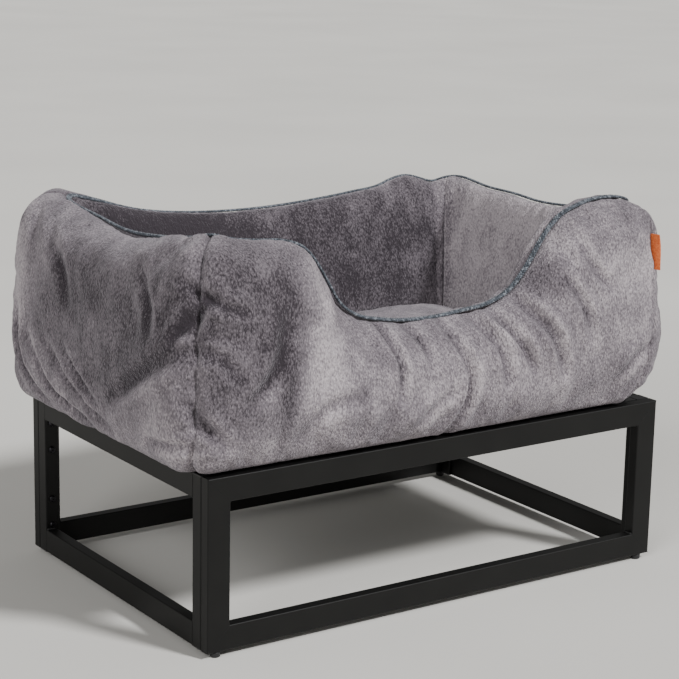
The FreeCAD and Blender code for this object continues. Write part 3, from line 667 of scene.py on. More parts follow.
# How far each corner is turned from the side before it to its seam: front left, front right, back.
SEAM_TURN = (45, 19, 45, 45)
CELLS = {"front": 116, "right": 72, "back": 116, "left": 72}
ROWS = 112


def curve_between(p0, p1, p2, p3, t):
    """A smooth curve from p1 to p2 that heads the way p0 and p3 lie, read at t from 0 to 1."""
    return 0.5 * (2 * p1 + (p2 - p0) * t + (2 * p0 - 5 * p1 + 4 * p2 - p3) * t ** 2
                  + (3 * p1 - p0 - 3 * p2 + p3) * t ** 3)


def closed_curve(corners, where):
    """A smooth closed curve through corners, read at positions counted in corners."""
    count = len(corners)
    first = np.floor(where).astype(int)
    t = (where - first)[:, None, None]
    return curve_between(*(corners[(first + k) % count] for k in (-1, 0, 1, 2)), t)


def section_corners(tops, roll):
    """The section's corners in metres, for each crest height and roll: outward, height, lean."""
    rows = []
    for number, (outward, fixed, share, lean) in enumerate(SECTION):
        rolled_out, rolled_up = ROLLED.get(number, (outward, fixed))
        out = (outward + (rolled_out - outward) * roll) / 1000
        height = (fixed + (rolled_up - fixed) * roll) / 1000 + share * tops
        rows.append(np.stack([out, height, np.full_like(tops, lean / 1000)], axis=-1))
    return np.array(rows)


def even_positions(count):
    """Positions along the section that are evenly spaced on a tall part of the wall."""
    fine = np.linspace(0, len(SECTION), 4001)
    line = closed_curve(section_corners(np.array([0.31]), np.zeros(1)), fine)[:, 0, :2]
    length = np.concatenate([[0], np.cumsum(np.linalg.norm(np.diff(line, axis=0), axis=1))])
    return np.interp(np.arange(count) / count * length[-1], length, fine), length[-1]


row_position, section_length = even_positions(ROWS)
print("section is", round(section_length * 1000), "mm round, in cells of",
      round(section_length * 1000 / ROWS, 1), "mm")


# %% The path round the bed, one entry to a column of the grid
def path_columns():
    """For each column: which corner circle it belongs to, the way it faces, and its side."""
    corners = ((-1, -1), (1, -1), (1, 1), (-1, 1))
    centres, facings, sides = [], [], []
    for number, side in enumerate(SIDES):
        start = np.array(corners[number], float)
        stop = np.array(corners[(number + 1) % 4], float)
        facing = number * 90 - 90
        before = 90 - SEAM_TURN[number]
        after = SEAM_TURN[(number + 1) % 4]
        for step in range(ROUND_CELLS):
            centres.append(start)
            facings.append(facing - before + before * step / ROUND_CELLS)
        for step in range(CELLS[side]):
            centres.append(start + (stop - start) * step / CELLS[side])
            facings.append(facing)
        for step in range(ROUND_CELLS):
            centres.append(stop)
            facings.append(facing + after * step / ROUND_CELLS)
        sides += [number] * (CELLS[side] + 2 * ROUND_CELLS)
    facings = np.radians(facings)
    return np.array(centres), np.stack([np.cos(facings), np.sin(facings)], axis=1), np.array(sides)


centres, facings, column_side = path_columns()
COLUMNS = len(centres)
# The right wall's outer face is stuffed a little tighter, so it bulges less by this much.
TIGHTER_RIGHT = 0.007


def ring_place(column, outward, height, lean):
    """A point of the wall, from its column and its place in the section."""
    radius = np.clip(0.060 + 0.5 * outward, 0.014, 0.090)
    x = centres[column, 0] * (HALF_LENGTH + outward - radius) + facings[column, 0] * radius - lean
    x = x - TIGHTER_RIGHT * np.clip(centres[column, 0], 0, 1) * eased(outward, -0.02, 0.03)
    y = centres[column, 1] * (HALF_DEPTH + outward - radius) + facings[column, 1] * radius
    return np.stack([x, y, WALL_FOOT + height + 0 * x], axis=-1)


base_line = ring_place(np.arange(COLUMNS), 0.0, 0.0, 0.0)
steps = np.linalg.norm(np.diff(base_line, axis=0, append=base_line[:1]), axis=1)
column_walk = np.concatenate([[0], np.cumsum(steps)[:-1]]) * AROUND / (steps.sum())
column_top = crest_height(column_walk) / 1000 - (WALL_FOOT - PANEL_TOP)
column_roll = 1 - eased(column_walk, 100, 200) * (1 - eased(column_walk, 2150, 2300))
print(COLUMNS, "columns and", ROWS, "rows")

# %% [markdown]
# ### Wrapping the grid
#
# A plane grid has one cell for each column and row. Every point goes to its place in the ring, the
# two ends and the two long edges then meet and are merged, and the skin is turned to face outwards.
# Three numbers are stored on each point for the later steps: how far it is from a corner seam, how
# far from the crest seam, and whether it is on the outer face.

# %% The ring of four walls
start_clean()
bpy.ops.mesh.primitive_grid_add(x_subdivisions=COLUMNS, y_subdivisions=ROWS, size=1)
ring = bpy.context.object
flat = points_of(ring)
column = np.rint((flat[:, 0] + 0.5) * COLUMNS).astype(int) % COLUMNS
row = np.rint((flat[:, 1] + 0.5) * ROWS).astype(int) % ROWS
sections = closed_curve(section_corners(column_top, column_roll), row_position)
outward, height, lean = (sections[row, column, k] for k in range(3))
move_points(ring, ring_place(column, outward, height, lean))

seam_columns = np.flatnonzero(np.diff(column_side, prepend=-1))
to_seam = np.abs(column[:, None] - np.append(seam_columns, COLUMNS)[None, :]).min(axis=1)
to_crest = np.minimum(row, ROWS - row)
outer = np.clip((10.5 - row_position[row]) / 1.5, 0, 1)
CELL = section_length / ROWS
for name, values in (("to_seam", to_seam * CELL), ("to_crest", to_crest * CELL), ("outer", outer)):
    ring.data.attributes.new(name, "FLOAT", "POINT").data.foreach_set("value", values)

for side in SIDES:
    ring.data.materials.append(plush)
grid_column = np.rint((flat[:, 0] + 0.5) * COLUMNS).astype(int)
face_column = [min(grid_column[point] for point in face.vertices) for face in ring.data.polygons]
ring.data.polygons.foreach_set("material_index", column_side[face_column])

only(ring)
bpy.ops.object.mode_set(mode="EDIT")
bpy.ops.mesh.select_all(action="SELECT")
bpy.ops.mesh.remove_doubles(threshold=0.00001)
bpy.ops.mesh.normals_make_consistent(inside=False)
bpy.ops.object.mode_set(mode="OBJECT")
print("ring has", len(ring.data.vertices), "points")


def stored(piece, name):
    """The numbers stored on a mesh's points under that name."""
    values = np.empty(len(piece.data.vertices))
    piece.data.attributes[name].data.foreach_get("value", values)
    return values


# %% [markdown]
# ### Stuffing the ring
#
# Air pressure in a cloth simulation does what stuffing does: panels swell between their seams and
# pull into small wrinkles near them. The seams, the foot and most of the inner face are pinned, the
# cloth is cut a little too large so that it wrinkles, and no point may move more than the cap, so
# the bed keeps its size.

# %% Blowing up a cloth shape
def inflate(piece, held, pressure, slack, cap, frames=20):
    """Swells a closed cloth by air pressure. held is how firmly each point is pinned, 0 to 1."""
    weigh(piece, "held", held)
    before = points_of(piece)
    only(piece)
    cloth = piece.modifiers.new("cloth", "CLOTH")
    cloth.settings.vertex_group_mass = "held"
    cloth.settings.use_pressure = True
    cloth.settings.uniform_pressure_force = pressure
    cloth.settings.shrink_min = -slack
    cloth.settings.shrink_max = -slack
    cloth.settings.effector_weights.gravity = 0
    cloth.settings.quality = 4
    cloth.collision_settings.use_collision = False
    cloth.point_cache.frame_end = frames
    for number in range(1, frames + 1):
        bpy.context.scene.frame_set(number)
    bpy.ops.object.modifier_apply(modifier="cloth")
    moved = points_of(piece) - before
    length = np.maximum(np.linalg.norm(moved, axis=1), 1e-9)
    allowed = cap * np.tanh(length / cap)
    move_points(piece, before + moved * (allowed / length)[:, None])
    bpy.context.scene.frame_set(1)
    piece.vertex_groups.clear()
    print(piece.name, "moved up to", round(length.max() * 1000, 1), "mm before the cap, mean",
          round(length.mean() * 1000, 2), "mm")


# %% Stuff the walls
WALL_CAP = 0.010
inner = 1 - stored(ring, "outer")
near_seam = np.exp(-(stored(ring, "to_seam") / 0.006) ** 2)
near_crest = np.exp(-(stored(ring, "to_crest") / 0.005) ** 2)
low = 1 - eased(points_of(ring)[:, 2], WALL_FOOT + 0.001, WALL_FOOT + 0.012)
held = np.clip(np.maximum.reduce([0.7 * inner, near_seam, near_crest, low]), 0, 1)
inflate(ring, held, pressure=4, slack=0.02, cap=WALL_CAP)

with_modifier(ring, "SUBSURF", levels=1, render_levels=1)
print("ring has", len(ring.data.vertices), "points after one subdivision")

# %% [markdown]
# ### Lumps, seams and folds
#
# Stuffing is never even, so broad soft lumps come first. Then the seams draw the cloth in, with the
# small gathers that a curved seam makes. Last come the folds that a bed gets from being leaned on.
# Each fold also stores a painted shade along its groove and a painted highlight on its right side,
# which the plush colour adds to the nap.
# The pile parts along a fold, so how it leans is stored too, for the nap.

# %% Soft lumps from a procedural cloud
def lumps(piece, size_mm, depth_mm, name, only_where=None):
    """Moves a skin in and out by a cloud of that size and whole depth."""
    cloud = bpy.data.textures.new(name, "CLOUDS")
    cloud.noise_scale = size_mm / 1000
    cloud.noise_depth = 1
    settings = {"texture": cloud, "strength": depth_mm / 1000, "mid_level": 0.5,
                "texture_coords": "LOCAL"}
    if only_where is not None:
        weigh(piece, "where", only_where)
        settings["vertex_group"] = "where"
    with_modifier(piece, "DISPLACE", **settings)
    piece.vertex_groups.clear()


off_floor = eased(points_of(ring)[:, 2], WALL_FOOT + 0.004, WALL_FOOT + 0.05)
free_skin = off_floor * (0.25 + 0.75 * stored(ring, "outer"))
lumps(ring, 150, 16, "broad_lumps", free_skin)
lumps(ring, 55, 6, "small_lumps", free_skin)

# %% Seams draw the cloth in
skin = points_of(ring)
facing = normals_of(ring)
to_seam = stored(ring, "to_seam")
to_crest = stored(ring, "to_crest")
outer = stored(ring, "outer")
ripple = np.sin(skin[:, 2] / 0.0065 + 3 * np.sin(skin[:, 2] / 0.027) + 9 * skin[:, 0])
seam_in = -0.0072 * np.exp(-(to_seam / 0.0055) ** 2)
seam_in += 0.0022 * np.exp(-((to_seam - 0.026) / 0.014) ** 2)
seam_in += 0.0012 * ripple * np.exp(-((to_seam - 0.014) / 0.012) ** 2)
crest_in = -0.0026 * np.exp(-(to_crest / 0.0045) ** 2)
along = np.where(np.abs(facing[:, 0]) > np.abs(facing[:, 1]), skin[:, 1], skin[:, 0])
gather = np.sin(along / 0.0052 + 2.2 * np.sin(along / 0.031) + skin[:, 2] / 0.03)
right_front = (skin[:, 1] < 0) * eased(skin[:, 0], -0.18, 0.02)
crest_in += gather * (0.0005 + 0.0013 * right_front) * np.exp(-((to_crest - 0.022) / 0.018) ** 2)
keep_foot = eased(skin[:, 2], WALL_FOOT - 0.002, WALL_FOOT + 0.006)
amount = seam_in * (0.3 + 0.7 * outer) * keep_foot + crest_in
move_points(ring, skin + facing * amount[:, None])
print("seams drawn in by up to", round(-seam_in.min() * 1000, 1), "mm")

# %% Folds: side, depth, half width, then places along the side and up the wall, all in mm
FOLDS = (
    ("front", 9, 7, ((-136, 200), (-118, 140), (-122, 84))),
    ("front", 6, 8, ((-88, 196), (-64, 160), (-60, 130))),
    ("front", 12, 8, ((-14, 186), (14, 125), (17, 77), (-6, 10))),
    ("front", 12, 9, ((44, 192), (80, 146), (92, 84))),
    ("front", 10, 8, ((84, 196), (126, 143), (146, 98))),
    ("front", 11, 9, ((134, 210), (180, 157), (212, 84))),
    ("front", 7, 8, ((206, 246), (246, 190), (264, 136))),
    ("front", 6, 8, ((244, 300), (268, 250), (300, 220))),
    ("front", 6, 9, ((-96, 26), (-50, 62), (-20, 84))),
    ("front", 7, 12, ((-330, 240), (-352, 160), (-398, 112))),
    ("front", 7, 9, ((-476, 112), (-462, 82), (-430, 50))),
    ("front", 7, 8, ((-480, 298), (-440, 266), (-400, 250))),
    ("front", 6, 10, ((-474, 200), (-440, 184), (-410, 150))),
    ("front", 5, 11, ((-300, 54), (-250, 92), (-190, 100))),
    ("front", 5, 10, ((330, 50), (372, 92), (430, 116))),
    ("front", 5, 10, ((398, 300), (418, 250), (452, 215))),
    ("left", 10, 13, ((-76, 70), (-180, 135), (-276, 188))),
    ("left", 8, 9, ((124, 126), (28, 68), (-70, 22))),
    ("left", 9, 9, ((192, 122), (98, 44), (6, 10))),
    ("left", 7, 8, ((64, 132), (-44, 64))),
    ("left", 9, 9, ((238, 170), (226, 82), (150, 18))),
    ("left", 7, 8, ((-318, 286), (-278, 228), (-262, 200))),
    ("left", 7, 8, ((-196, 40), (-300, 50))),
    ("left", 6, 11, ((150, 300), (90, 262), (60, 205))),
    ("left", 6, 10, ((-150, 300), (-200, 250), (-210, 210))),
    ("right", 5, 13, ((-236, 250), (-180, 190), (-164, 110), (-176, 40))),
    ("right", 4, 12, ((-90, 250), (-64, 190), (-70, 120))),
    ("right", 5, 14, ((20, 30), (44, 100), (36, 190), (60, 260))),
    ("right", 5, 12, ((226, 260), (180, 180), (170, 90), (190, 30))),
    ("right", 4, 11, ((110, 20), (124, 70), (112, 130))),
    ("back", 5, 13, ((-400, 270), (-340, 190), (-330, 110), (-350, 30))),
    ("back", 4, 12, ((-236, 250), (-220, 180), (-236, 100))),
    ("back", 5, 13, ((-120, 30), (-96, 110), (-104, 200))),
    ("back", 4, 12, ((40, 240), (24, 170), (40, 80))),
    ("back", 5, 13, ((170, 250), (190, 170), (180, 70), (200, 20))),
    ("back", 4, 11, ((300, 30), (290, 90), (306, 150))),
    ("back", 5, 12, ((410, 260), (370, 190), (364, 100))),
)
OUTWARDS = {"front": (0, -1), "right": (1, 0), "back": (0, 1), "left": (-1, 0)}


def side_view(side, skin, facing):
    """Places along a side and up the wall, and how squarely each point faces that way."""
    away = np.array(OUTWARDS[side.replace("inside_", "")])
    along = skin[:, 0] if away[0] == 0 else skin[:, 1]
    looks = -1 if side.startswith("inside_") else 1
    square = eased(looks * facing[:, :2] @ away, 0.05, 0.45)
    beyond = eased(skin[:, :2] @ away, 0.16, 0.20)
    return along, skin[:, 2] - WALL_FOOT, square * beyond


def fold_line(places):
    """A smooth line of points through a fold's places, in metres."""
    places = np.array(places, float) / 1000
    ends = np.vstack([2 * places[0] - places[1], places, 2 * places[-1] - places[-2]])
    t = np.linspace(0, 1, 12)[:, None]
    return np.vstack([curve_between(*ends[k:k + 4], t) for k in range(len(ends) - 3)])


skin = points_of(ring)
facing = normals_of(ring)
pressed = np.zeros(len(skin))
painted_fold_shade = np.zeros(len(skin))
for side, depth, half_width, places in FOLDS:
    along, up, square = side_view(side, skin, facing)
    line = fold_line(places)
    reach = 4 * half_width / 1000
    near = np.flatnonzero((square > 0) & (along > line[:, 0].min() - reach)
                          & (along < line[:, 0].max() + reach)
                          & (up > line[:, 1].min() - reach) & (up < line[:, 1].max() + reach))
    spots = np.stack([along[near], up[near]], axis=1)
    gaps = np.linalg.norm(spots[:, None, :] - line[None, :, :], axis=2)
    share = gaps.argmin(axis=1) / (len(line) - 1)
    gap = gaps.min(axis=1) * 1000 / half_width
    fade = np.sin(np.pi * np.clip(0.06 + 0.88 * share, 0, 1)) ** 0.7
    dent = -np.exp(-gap ** 2) + 0.42 * np.exp(-((gap - 2.0) / 0.9) ** 2)
    pressed[near] += depth / 1000 * fade * dent * square[near]
    # Painted fold shading: dark just left of the fold line and a painted highlight to its right,
    # stronger for deeper folds.
    beside = spots - line[gaps.argmin(axis=1)]
    rightwards = beside[:, 0] if side in ("front", "right") else -beside[:, 0]
    signed = gap * np.sign(rightwards)
    lean = -np.exp(-((signed + 0.3) / 0.8) ** 2) + 0.7 * np.exp(-((signed - 1.5) / 0.9) ** 2)
    painted_fold_shade[near] += min(depth / 9, 1.0) * fade * lean * square[near]
move_points(ring, skin + facing * pressed[:, None])
# Stores the painted fold shade and highlight for the plush colour.
ring.data.attributes.new("painted_fold_shade", "FLOAT", "POINT").data.foreach_set("value", painted_fold_shade)
print(len(FOLDS), "folds, the deepest", round(-pressed.min() * 1000, 1), "mm")

# %% The nap's tufts stand up a little, so the skin itself is given a fine grain
lumps(ring, 9, 1.8, "tuft_clumps", off_floor)

# %% [markdown]
# ### Painting the nap, and painted shade and light
#
# The pile lies one way here and another way there. Each patch is a soft blot with a place along its
# side, a height, a half width, a half height, and how much lighter or darker the pile looks there.
# The two patches inside the bed are not nap. They are a painted shadow on the inner back wall and
# painted light on the inner right wall, and the painted fold shading is added in too.

# %% Nap, painted shade and light: side, along, up, half width, half height in mm, and strength
NAP_AND_PAINTED_LIGHT = (
    ("front", -400, 250, 110, 110, -0.7),
    ("front", -330, 210, 36, 90, -0.4),
    ("front", -420, 120, 60, 60, -0.4),
    ("front", -332, 130, 16, 80, -0.5),
    ("front", -262, 170, 46, 110, 0.7),
    ("front", -380, 50, 60, 36, 0.3),
    ("front", 60, 90, 170, 60, 0.4),
    ("front", 350, 200, 90, 90, 0.5),
    ("front", 180, 250, 50, 40, -0.5),
    ("left", -180, 230, 110, 90, -0.9),
    ("left", 20, 240, 100, 80, -0.7),
    ("left", 120, 180, 70, 80, -0.5),
    ("left", -60, 120, 140, 60, -0.5),
    ("left", 240, 220, 40, 120, 0.5),
    ("left", -230, 60, 60, 40, 0.3),
    ("back", -220, 200, 120, 80, 0.6),
    ("back", 60, 110, 150, 70, -0.5),
    ("back", 320, 210, 80, 90, 0.6),
    ("right", -120, 180, 90, 90, 0.5),
    ("right", 140, 110, 90, 80, -0.5),
    # Not nap: a painted shadow on the inner back wall and painted light on the inner right wall.
    ("inside_back", -250, 200, 220, 180, -1.6),
    ("inside_back", 170, 200, 230, 180, -0.9),
    ("inside_right", 0, 220, 300, 180, 0.9),
)


def paint_nap_and_light(piece):
    """Stores nap, painted fold shading and painted inside shade and light on a mesh's points."""
    skin = points_of(piece)
    facing = normals_of(piece)
    # The painted fold shade and highlight go in with the nap.
    nap_and_painted_light = 0.8 * stored(piece, "painted_fold_shade")
    for side, middle, top, half_width, half_height, strength in NAP_AND_PAINTED_LIGHT:
        along, up, square = side_view(side, skin, facing)
        spread = (((along * 1000 - middle) / half_width) ** 2
                  + ((up * 1000 - top) / half_height) ** 2)
        nap_and_painted_light += strength * square * np.exp(-spread ** 1.6)
    piece.data.attributes.new("nap_and_painted_light", "FLOAT", "POINT").data.foreach_set("value", nap_and_painted_light)
    print(piece.name, "nap from", round(nap_and_painted_light.min(), 2), "to", round(nap_and_painted_light.max(), 2))


paint_nap_and_light(ring)

# %% [markdown]
# ### Four panels
#
# The ring is cut at its corner seams into the four stuffed walls that the real bed is sewn from.
# Each face already knows its side, so the cut follows the seams exactly. Each open end is closed.

# %% Cut the ring into walls
only(ring)
bpy.ops.object.mode_set(mode="EDIT")
bpy.ops.mesh.select_all(action="SELECT")
bpy.ops.mesh.separate(type="MATERIAL")
bpy.ops.object.mode_set(mode="OBJECT")
walls = list(bpy.context.selected_objects)
for wall in walls:
    middle = points_of(wall).mean(axis=0)
    side = max(SIDES, key=lambda s: np.dot(middle[:2] / (HALF_LENGTH, HALF_DEPTH), OUTWARDS[s]))
    only(wall)
    bpy.ops.object.mode_set(mode="EDIT")
    bpy.ops.mesh.select_all(action="DESELECT")
    bpy.ops.mesh.select_mode(type="EDGE")
    bpy.ops.mesh.select_non_manifold()
    bpy.ops.mesh.fill_holes(sides=0)
    bpy.ops.object.mode_set(mode="OBJECT")
    wall.data.materials.clear()
    wall.data.materials.append(plush)
    smooth(wall, 70)
    install(wall, side + "_wall_plush", plush, "bed", "grey_plush",
            side + "_wall_foam", side + "_wall_cover")
    print(side, "wall low and high", points_of(wall).min(axis=0).round(3),
          points_of(wall).max(axis=0).round(3))

# %% [markdown]
# ## The crest braid
#
# A flat plait of three slate yarns covers the crest seam all the way round. The seam's line is
# known from the section, so each yarn is a curve that weaves from side to side and over and under
# as it follows that line. A round bevel gives the curve its thickness, and it is then made a mesh.

# %% The seam's line, and the ways across it and up from it
BRAID_PITCH = 0.013
BRAID_HALF_WIDTH = 0.0034
YARN_RADIUS = 0.0017


def around(values, where):
    """Reads one row of numbers to a column at positions counted in columns, round the loop."""
    low = np.floor(where).astype(int)
    share = (where - low).reshape(-1, *[1] * (values.ndim - 1))
    return values[low % COLUMNS] * (1 - share) + values[(low + 1) % COLUMNS] * share


def seam_line():
    """Places along the crest seam, the way across the seam, and the way up from the skin."""
    every = np.arange(COLUMNS)
    corners = section_corners(column_top, column_roll)
    rows = closed_curve(corners, np.array([0.0, 0.4, len(SECTION) - 0.4]))
    seam, outside, inside = (ring_place(every, *rows[k].T) for k in range(3))
    for _ in range(3):
        seam = (np.roll(seam, 1, axis=0) + 2 * seam + np.roll(seam, -1, axis=0)) / 4
    ahead = np.roll(seam, -1, axis=0) - np.roll(seam, 1, axis=0)
    ahead /= np.linalg.norm(ahead, axis=1)[:, None]
    across = outside - inside
    across -= (across * ahead).sum(axis=1)[:, None] * ahead
    across /= np.linalg.norm(across, axis=1)[:, None]
    return seam, across, np.cross(across, ahead)


seam, across, upward = seam_line()
upward *= np.sign(upward[:, 2].mean())
seam_length = np.linalg.norm(np.roll(seam, -1, axis=0) - seam, axis=1).sum()
turns = round(seam_length / BRAID_PITCH)
print("crest seam is", round(seam_length, 3), "m, plaited in", turns, "turns")

# %% Plait three yarns along it
yarns = bpy.data.curves.new("yarns", "CURVE")
yarns.dimensions = "3D"
yarns.bevel_depth = YARN_RADIUS
yarns.bevel_resolution = 1
steps = turns * 8
lengths = np.concatenate([[0], np.cumsum(np.linalg.norm(np.roll(seam, -1, axis=0) - seam, axis=1))])
evenly = np.interp(np.arange(steps) / steps * lengths[-1], lengths, np.arange(COLUMNS + 1))
for strand in range(3):
    phase = 2 * np.pi * (np.arange(steps) / 8 + strand / 3)
    sideways = BRAID_HALF_WIDTH * np.sin(phase)
    lift = 0.0022 + 0.0010 * np.sin(2 * phase)
    line = around(seam, evenly) + around(across, evenly) * sideways[:, None]
    line += around(upward, evenly) * lift[:, None]
    spline = yarns.splines.new("POLY")
    spline.points.add(steps - 1)
    spline.points.foreach_set("co", np.hstack([line, np.ones((steps, 1))]).ravel())
    spline.use_cyclic_u = True
braid = bpy.data.objects.new("crest_plait", yarns)
bpy.context.scene.collection.objects.link(braid)
only(braid)
bpy.ops.object.convert(target="MESH")
smooth(braid, 80)
install(braid, "crest_plait", slate_braid, "bed", "slate_braid", "crest_braid")

# %% [markdown]
# ## The side tag
#
# A strip of woven ribbon is folded in half and caught in the front right seam, with no lettering.
# A grid is bent round the fold by a function, given the ribbon's thickness, and rounded.

# %% Fold a ribbon into the seam
TAG_HEIGHT = 0.060
TAG_REACH = 0.018
tag_column = int(seam_columns[1])
tag_middle = (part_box("side_tag")[0].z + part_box("side_tag")[1].z) / 2 - WALL_FOOT
corner_section = closed_curve(section_corners(column_top[tag_column:tag_column + 1],
                                              column_roll[tag_column:tag_column + 1]),
                              np.linspace(1, 9, 400))[:, 0]
start_clean()
bpy.ops.mesh.primitive_grid_add(x_subdivisions=24, y_subdivisions=24, size=1)
tag = bpy.context.object
flat = points_of(tag)
up = flat[:, 1] * TAG_HEIGHT
round_fold = flat[:, 0] * 2 * np.pi * 0.5
reach = TAG_REACH * np.cos(round_fold) ** 0.75
apart = 0.0016 * np.sin(round_fold) * (0.35 + 0.65 * np.cos(round_fold))
wave = 0.0016 * np.sin(up / 0.013 + 0.6) * reach / TAG_REACH
order = np.argsort(corner_section[:, 1])
place_out = np.interp(tag_middle + up, corner_section[order, 1], corner_section[order, 0])
place_lean = np.interp(tag_middle + up, corner_section[order, 1], corner_section[order, 2])
root = ring_place(np.full(len(up), tag_column), place_out - 0.001, tag_middle + up, place_lean)
out_way = np.append(facings[tag_column], 0.0)
side_way = np.array([-out_way[1], out_way[0], 0.0])
move_points(tag, root + out_way * reach[:, None] + side_way * (apart + wave)[:, None])
with_modifier(tag, "SOLIDIFY", thickness=0.0007, offset=0)
with_modifier(tag, "SUBSURF", levels=1, render_levels=1)
smooth(tag, 50)
install(tag, "blank_side_tag", orange_label, "bed", "orange_label", "side_tag")

# %% [markdown]
# ## The floor of the bed
#
# Inside the walls lies a thin foam sheet in the same plush, sewn round its edge. It starts as a
# cube, its edges are bevelled round, it is cut into cells, and its top is drawn down along the
# edge seam. The cushion rests on it, so its middle stays level.

# %% The padded floor
def block(low, high):
    """A cube primitive between two corners, as a start for a piece."""
    start_clean()
    middle = (np.array(low) + np.array(high)) / 2
    bpy.ops.mesh.primitive_cube_add(size=1, location=tuple(middle))
    made = bpy.context.object
    made.scale = tuple(np.array(high) - np.array(low))
    bpy.ops.object.transform_apply(location=True, rotation=True, scale=True)
    return made


def round_edges(piece, width, segments=3):
    """Bevels every edge of a piece."""
    with_modifier(piece, "BEVEL", width=width, segments=segments, limit_method="ANGLE")


def remesh(piece, cell):
    """Makes a skin of even square cells."""
    with_modifier(piece, "REMESH", mode="VOXEL", voxel_size=cell, use_smooth_shade=True)


pad_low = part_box("floor_foam")[0]
pad_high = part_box("floor_cover")[1]
GAP = 0.001
pad = block(pad_low + Vector((GAP, GAP, 0)), pad_high - Vector((GAP, GAP, 0)))
round_edges(pad, 0.010)
remesh(pad, 0.007)
skin = points_of(pad)
edge = np.minimum(pad_high.x - np.abs(skin[:, 0]), pad_high.y - np.abs(skin[:, 1]))
top = eased(skin[:, 2], pad_low.z + 0.02, pad_high.z - 0.002)
skin[:, 2] -= top * 0.005 * np.exp(-((edge - 0.016) / 0.006) ** 2)
move_points(pad, skin)
smooth(pad, 60)
install(pad, "floor_pad", plush, "bed", "grey_plush", "floor_foam", "floor_cover")

# %% [markdown]
# ## The underside
#
# A coarse black cloth closes the bed from below. Small rubber dots on it grip the panel. The cloth
# is a grid given its thickness. One dot, a low disc narrowed towards the panel, is repeated by two
# array modifiers.

# %% Underside cloth
under_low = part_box("bed_underside")[0]
DOT_HEIGHT = 0.0008
# The stuffed foot sits this far to the left, and the cloth goes with it.
FOOT_LEAN = 0.012
start_clean()
bpy.ops.mesh.primitive_grid_add(x_subdivisions=60, y_subdivisions=40, size=1)
cloth = bpy.context.object
flat = points_of(cloth)
skin = np.zeros_like(flat)
skin[:, 0] = flat[:, 0] * 2 * (HALF_LENGTH - 0.030) - FOOT_LEAN
skin[:, 1] = flat[:, 1] * 2 * (HALF_DEPTH - 0.014)
skin[:, 2] = under_low.z + DOT_HEIGHT + 0.0006
move_points(cloth, skin)
with_modifier(cloth, "SOLIDIFY", thickness=0.0008, offset=0)
install(cloth, "underside_cloth", non_slip, "bed", "non_slip_cloth", "bed_underside")

# %% Rubber dots
DOT_SPACING = 0.014
start_clean()
bpy.ops.mesh.primitive_cylinder_add(vertices=8, radius=0.0022, depth=DOT_HEIGHT,
                                    location=(0, 0, under_low.z + DOT_HEIGHT / 2))
dots = bpy.context.object
bpy.ops.object.transform_apply(location=True, rotation=True, scale=True)
resize(dots, (0.6, 0.6, 1.0), lambda at: at.z < under_low.z + DOT_HEIGHT / 2)
dots_long = int(2 * (HALF_LENGTH - 0.045) / DOT_SPACING)
dots_deep = int(2 * (HALF_DEPTH - 0.03) / DOT_SPACING)
for count, offset in ((dots_long, (DOT_SPACING, 0, 0)), (dots_deep, (0, DOT_SPACING, 0))):
    with_modifier(dots, "ARRAY", count=count, use_relative_offset=False,
                  use_constant_offset=True, constant_offset_displace=offset)
skin = points_of(dots)
skin[:, :2] -= (skin[:, :2].max(axis=0) + skin[:, :2].min(axis=0)) / 2
skin[:, 0] -= FOOT_LEAN
move_points(dots, skin)
smooth(dots, 60)
install(dots, "underside_dots", rubber, "bed", "non_slip_cloth")

# %% [markdown]
# ## The loose cushion
#
# The cushion is a boxed case of the same plush, stuffed with fibre. It rests flat on the floor pad,
# its top is crowned, and its front and ends pull in between the corners. The back stays straighter,
# because the zip stiffens it. It starts as a bevelled block that a function crowns, is remeshed
# into cells, blown up by the same cloth simulation, and its middle seam is drawn in last.

# %% Shape the cushion
cushion_low, cushion_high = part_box("cushion_cover")
cushion_middle = (cushion_low.z + cushion_high.z) / 2
half_x = cushion_high.x
half_y = cushion_high.y
STUFFING = 0.006
cushion = block(cushion_low, cushion_high)
round_edges(cushion, 0.030, 6)
remesh(cushion, 0.006)
skin = points_of(cushion)
u = skin[:, 0] / half_x
v = skin[:, 1] / half_y
crown = np.clip(1 - np.abs(u) ** 3.2, 0, 1) ** 0.55 * np.clip(1 - np.abs(v) ** 3.0, 0, 1) ** 0.55
up = eased(skin[:, 2], cushion_middle - 0.01, cushion_high.z)
skin[:, 2] -= up * (0.030 * (1 - crown) + STUFFING)
pull = 1 - np.abs(u) ** 2
pull_ends = 1 - np.abs(v) ** 2
skin[:, 1] += np.where(v < 0, 0.014, 0.0) * pull * eased(np.abs(v), 0.55, 1.0)
skin[:, 0] -= np.sign(u) * 0.012 * pull_ends * eased(np.abs(u), 0.7, 1.0)
move_points(cushion, skin)
cushion.name = "cushion_plush"

# %% Stuff it
skin = points_of(cushion)
seam_hold = np.exp(-((skin[:, 2] - cushion_middle) / 0.005) ** 2)
rests = 1 - eased(skin[:, 2], cushion_low.z + 0.002, cushion_low.z + 0.010)
inflate(cushion, np.clip(np.maximum(seam_hold * 0.9, rests), 0, 1), pressure=3.5,
        slack=0.015, cap=0.009)
with_modifier(cushion, "SUBSURF", levels=1, render_levels=1)

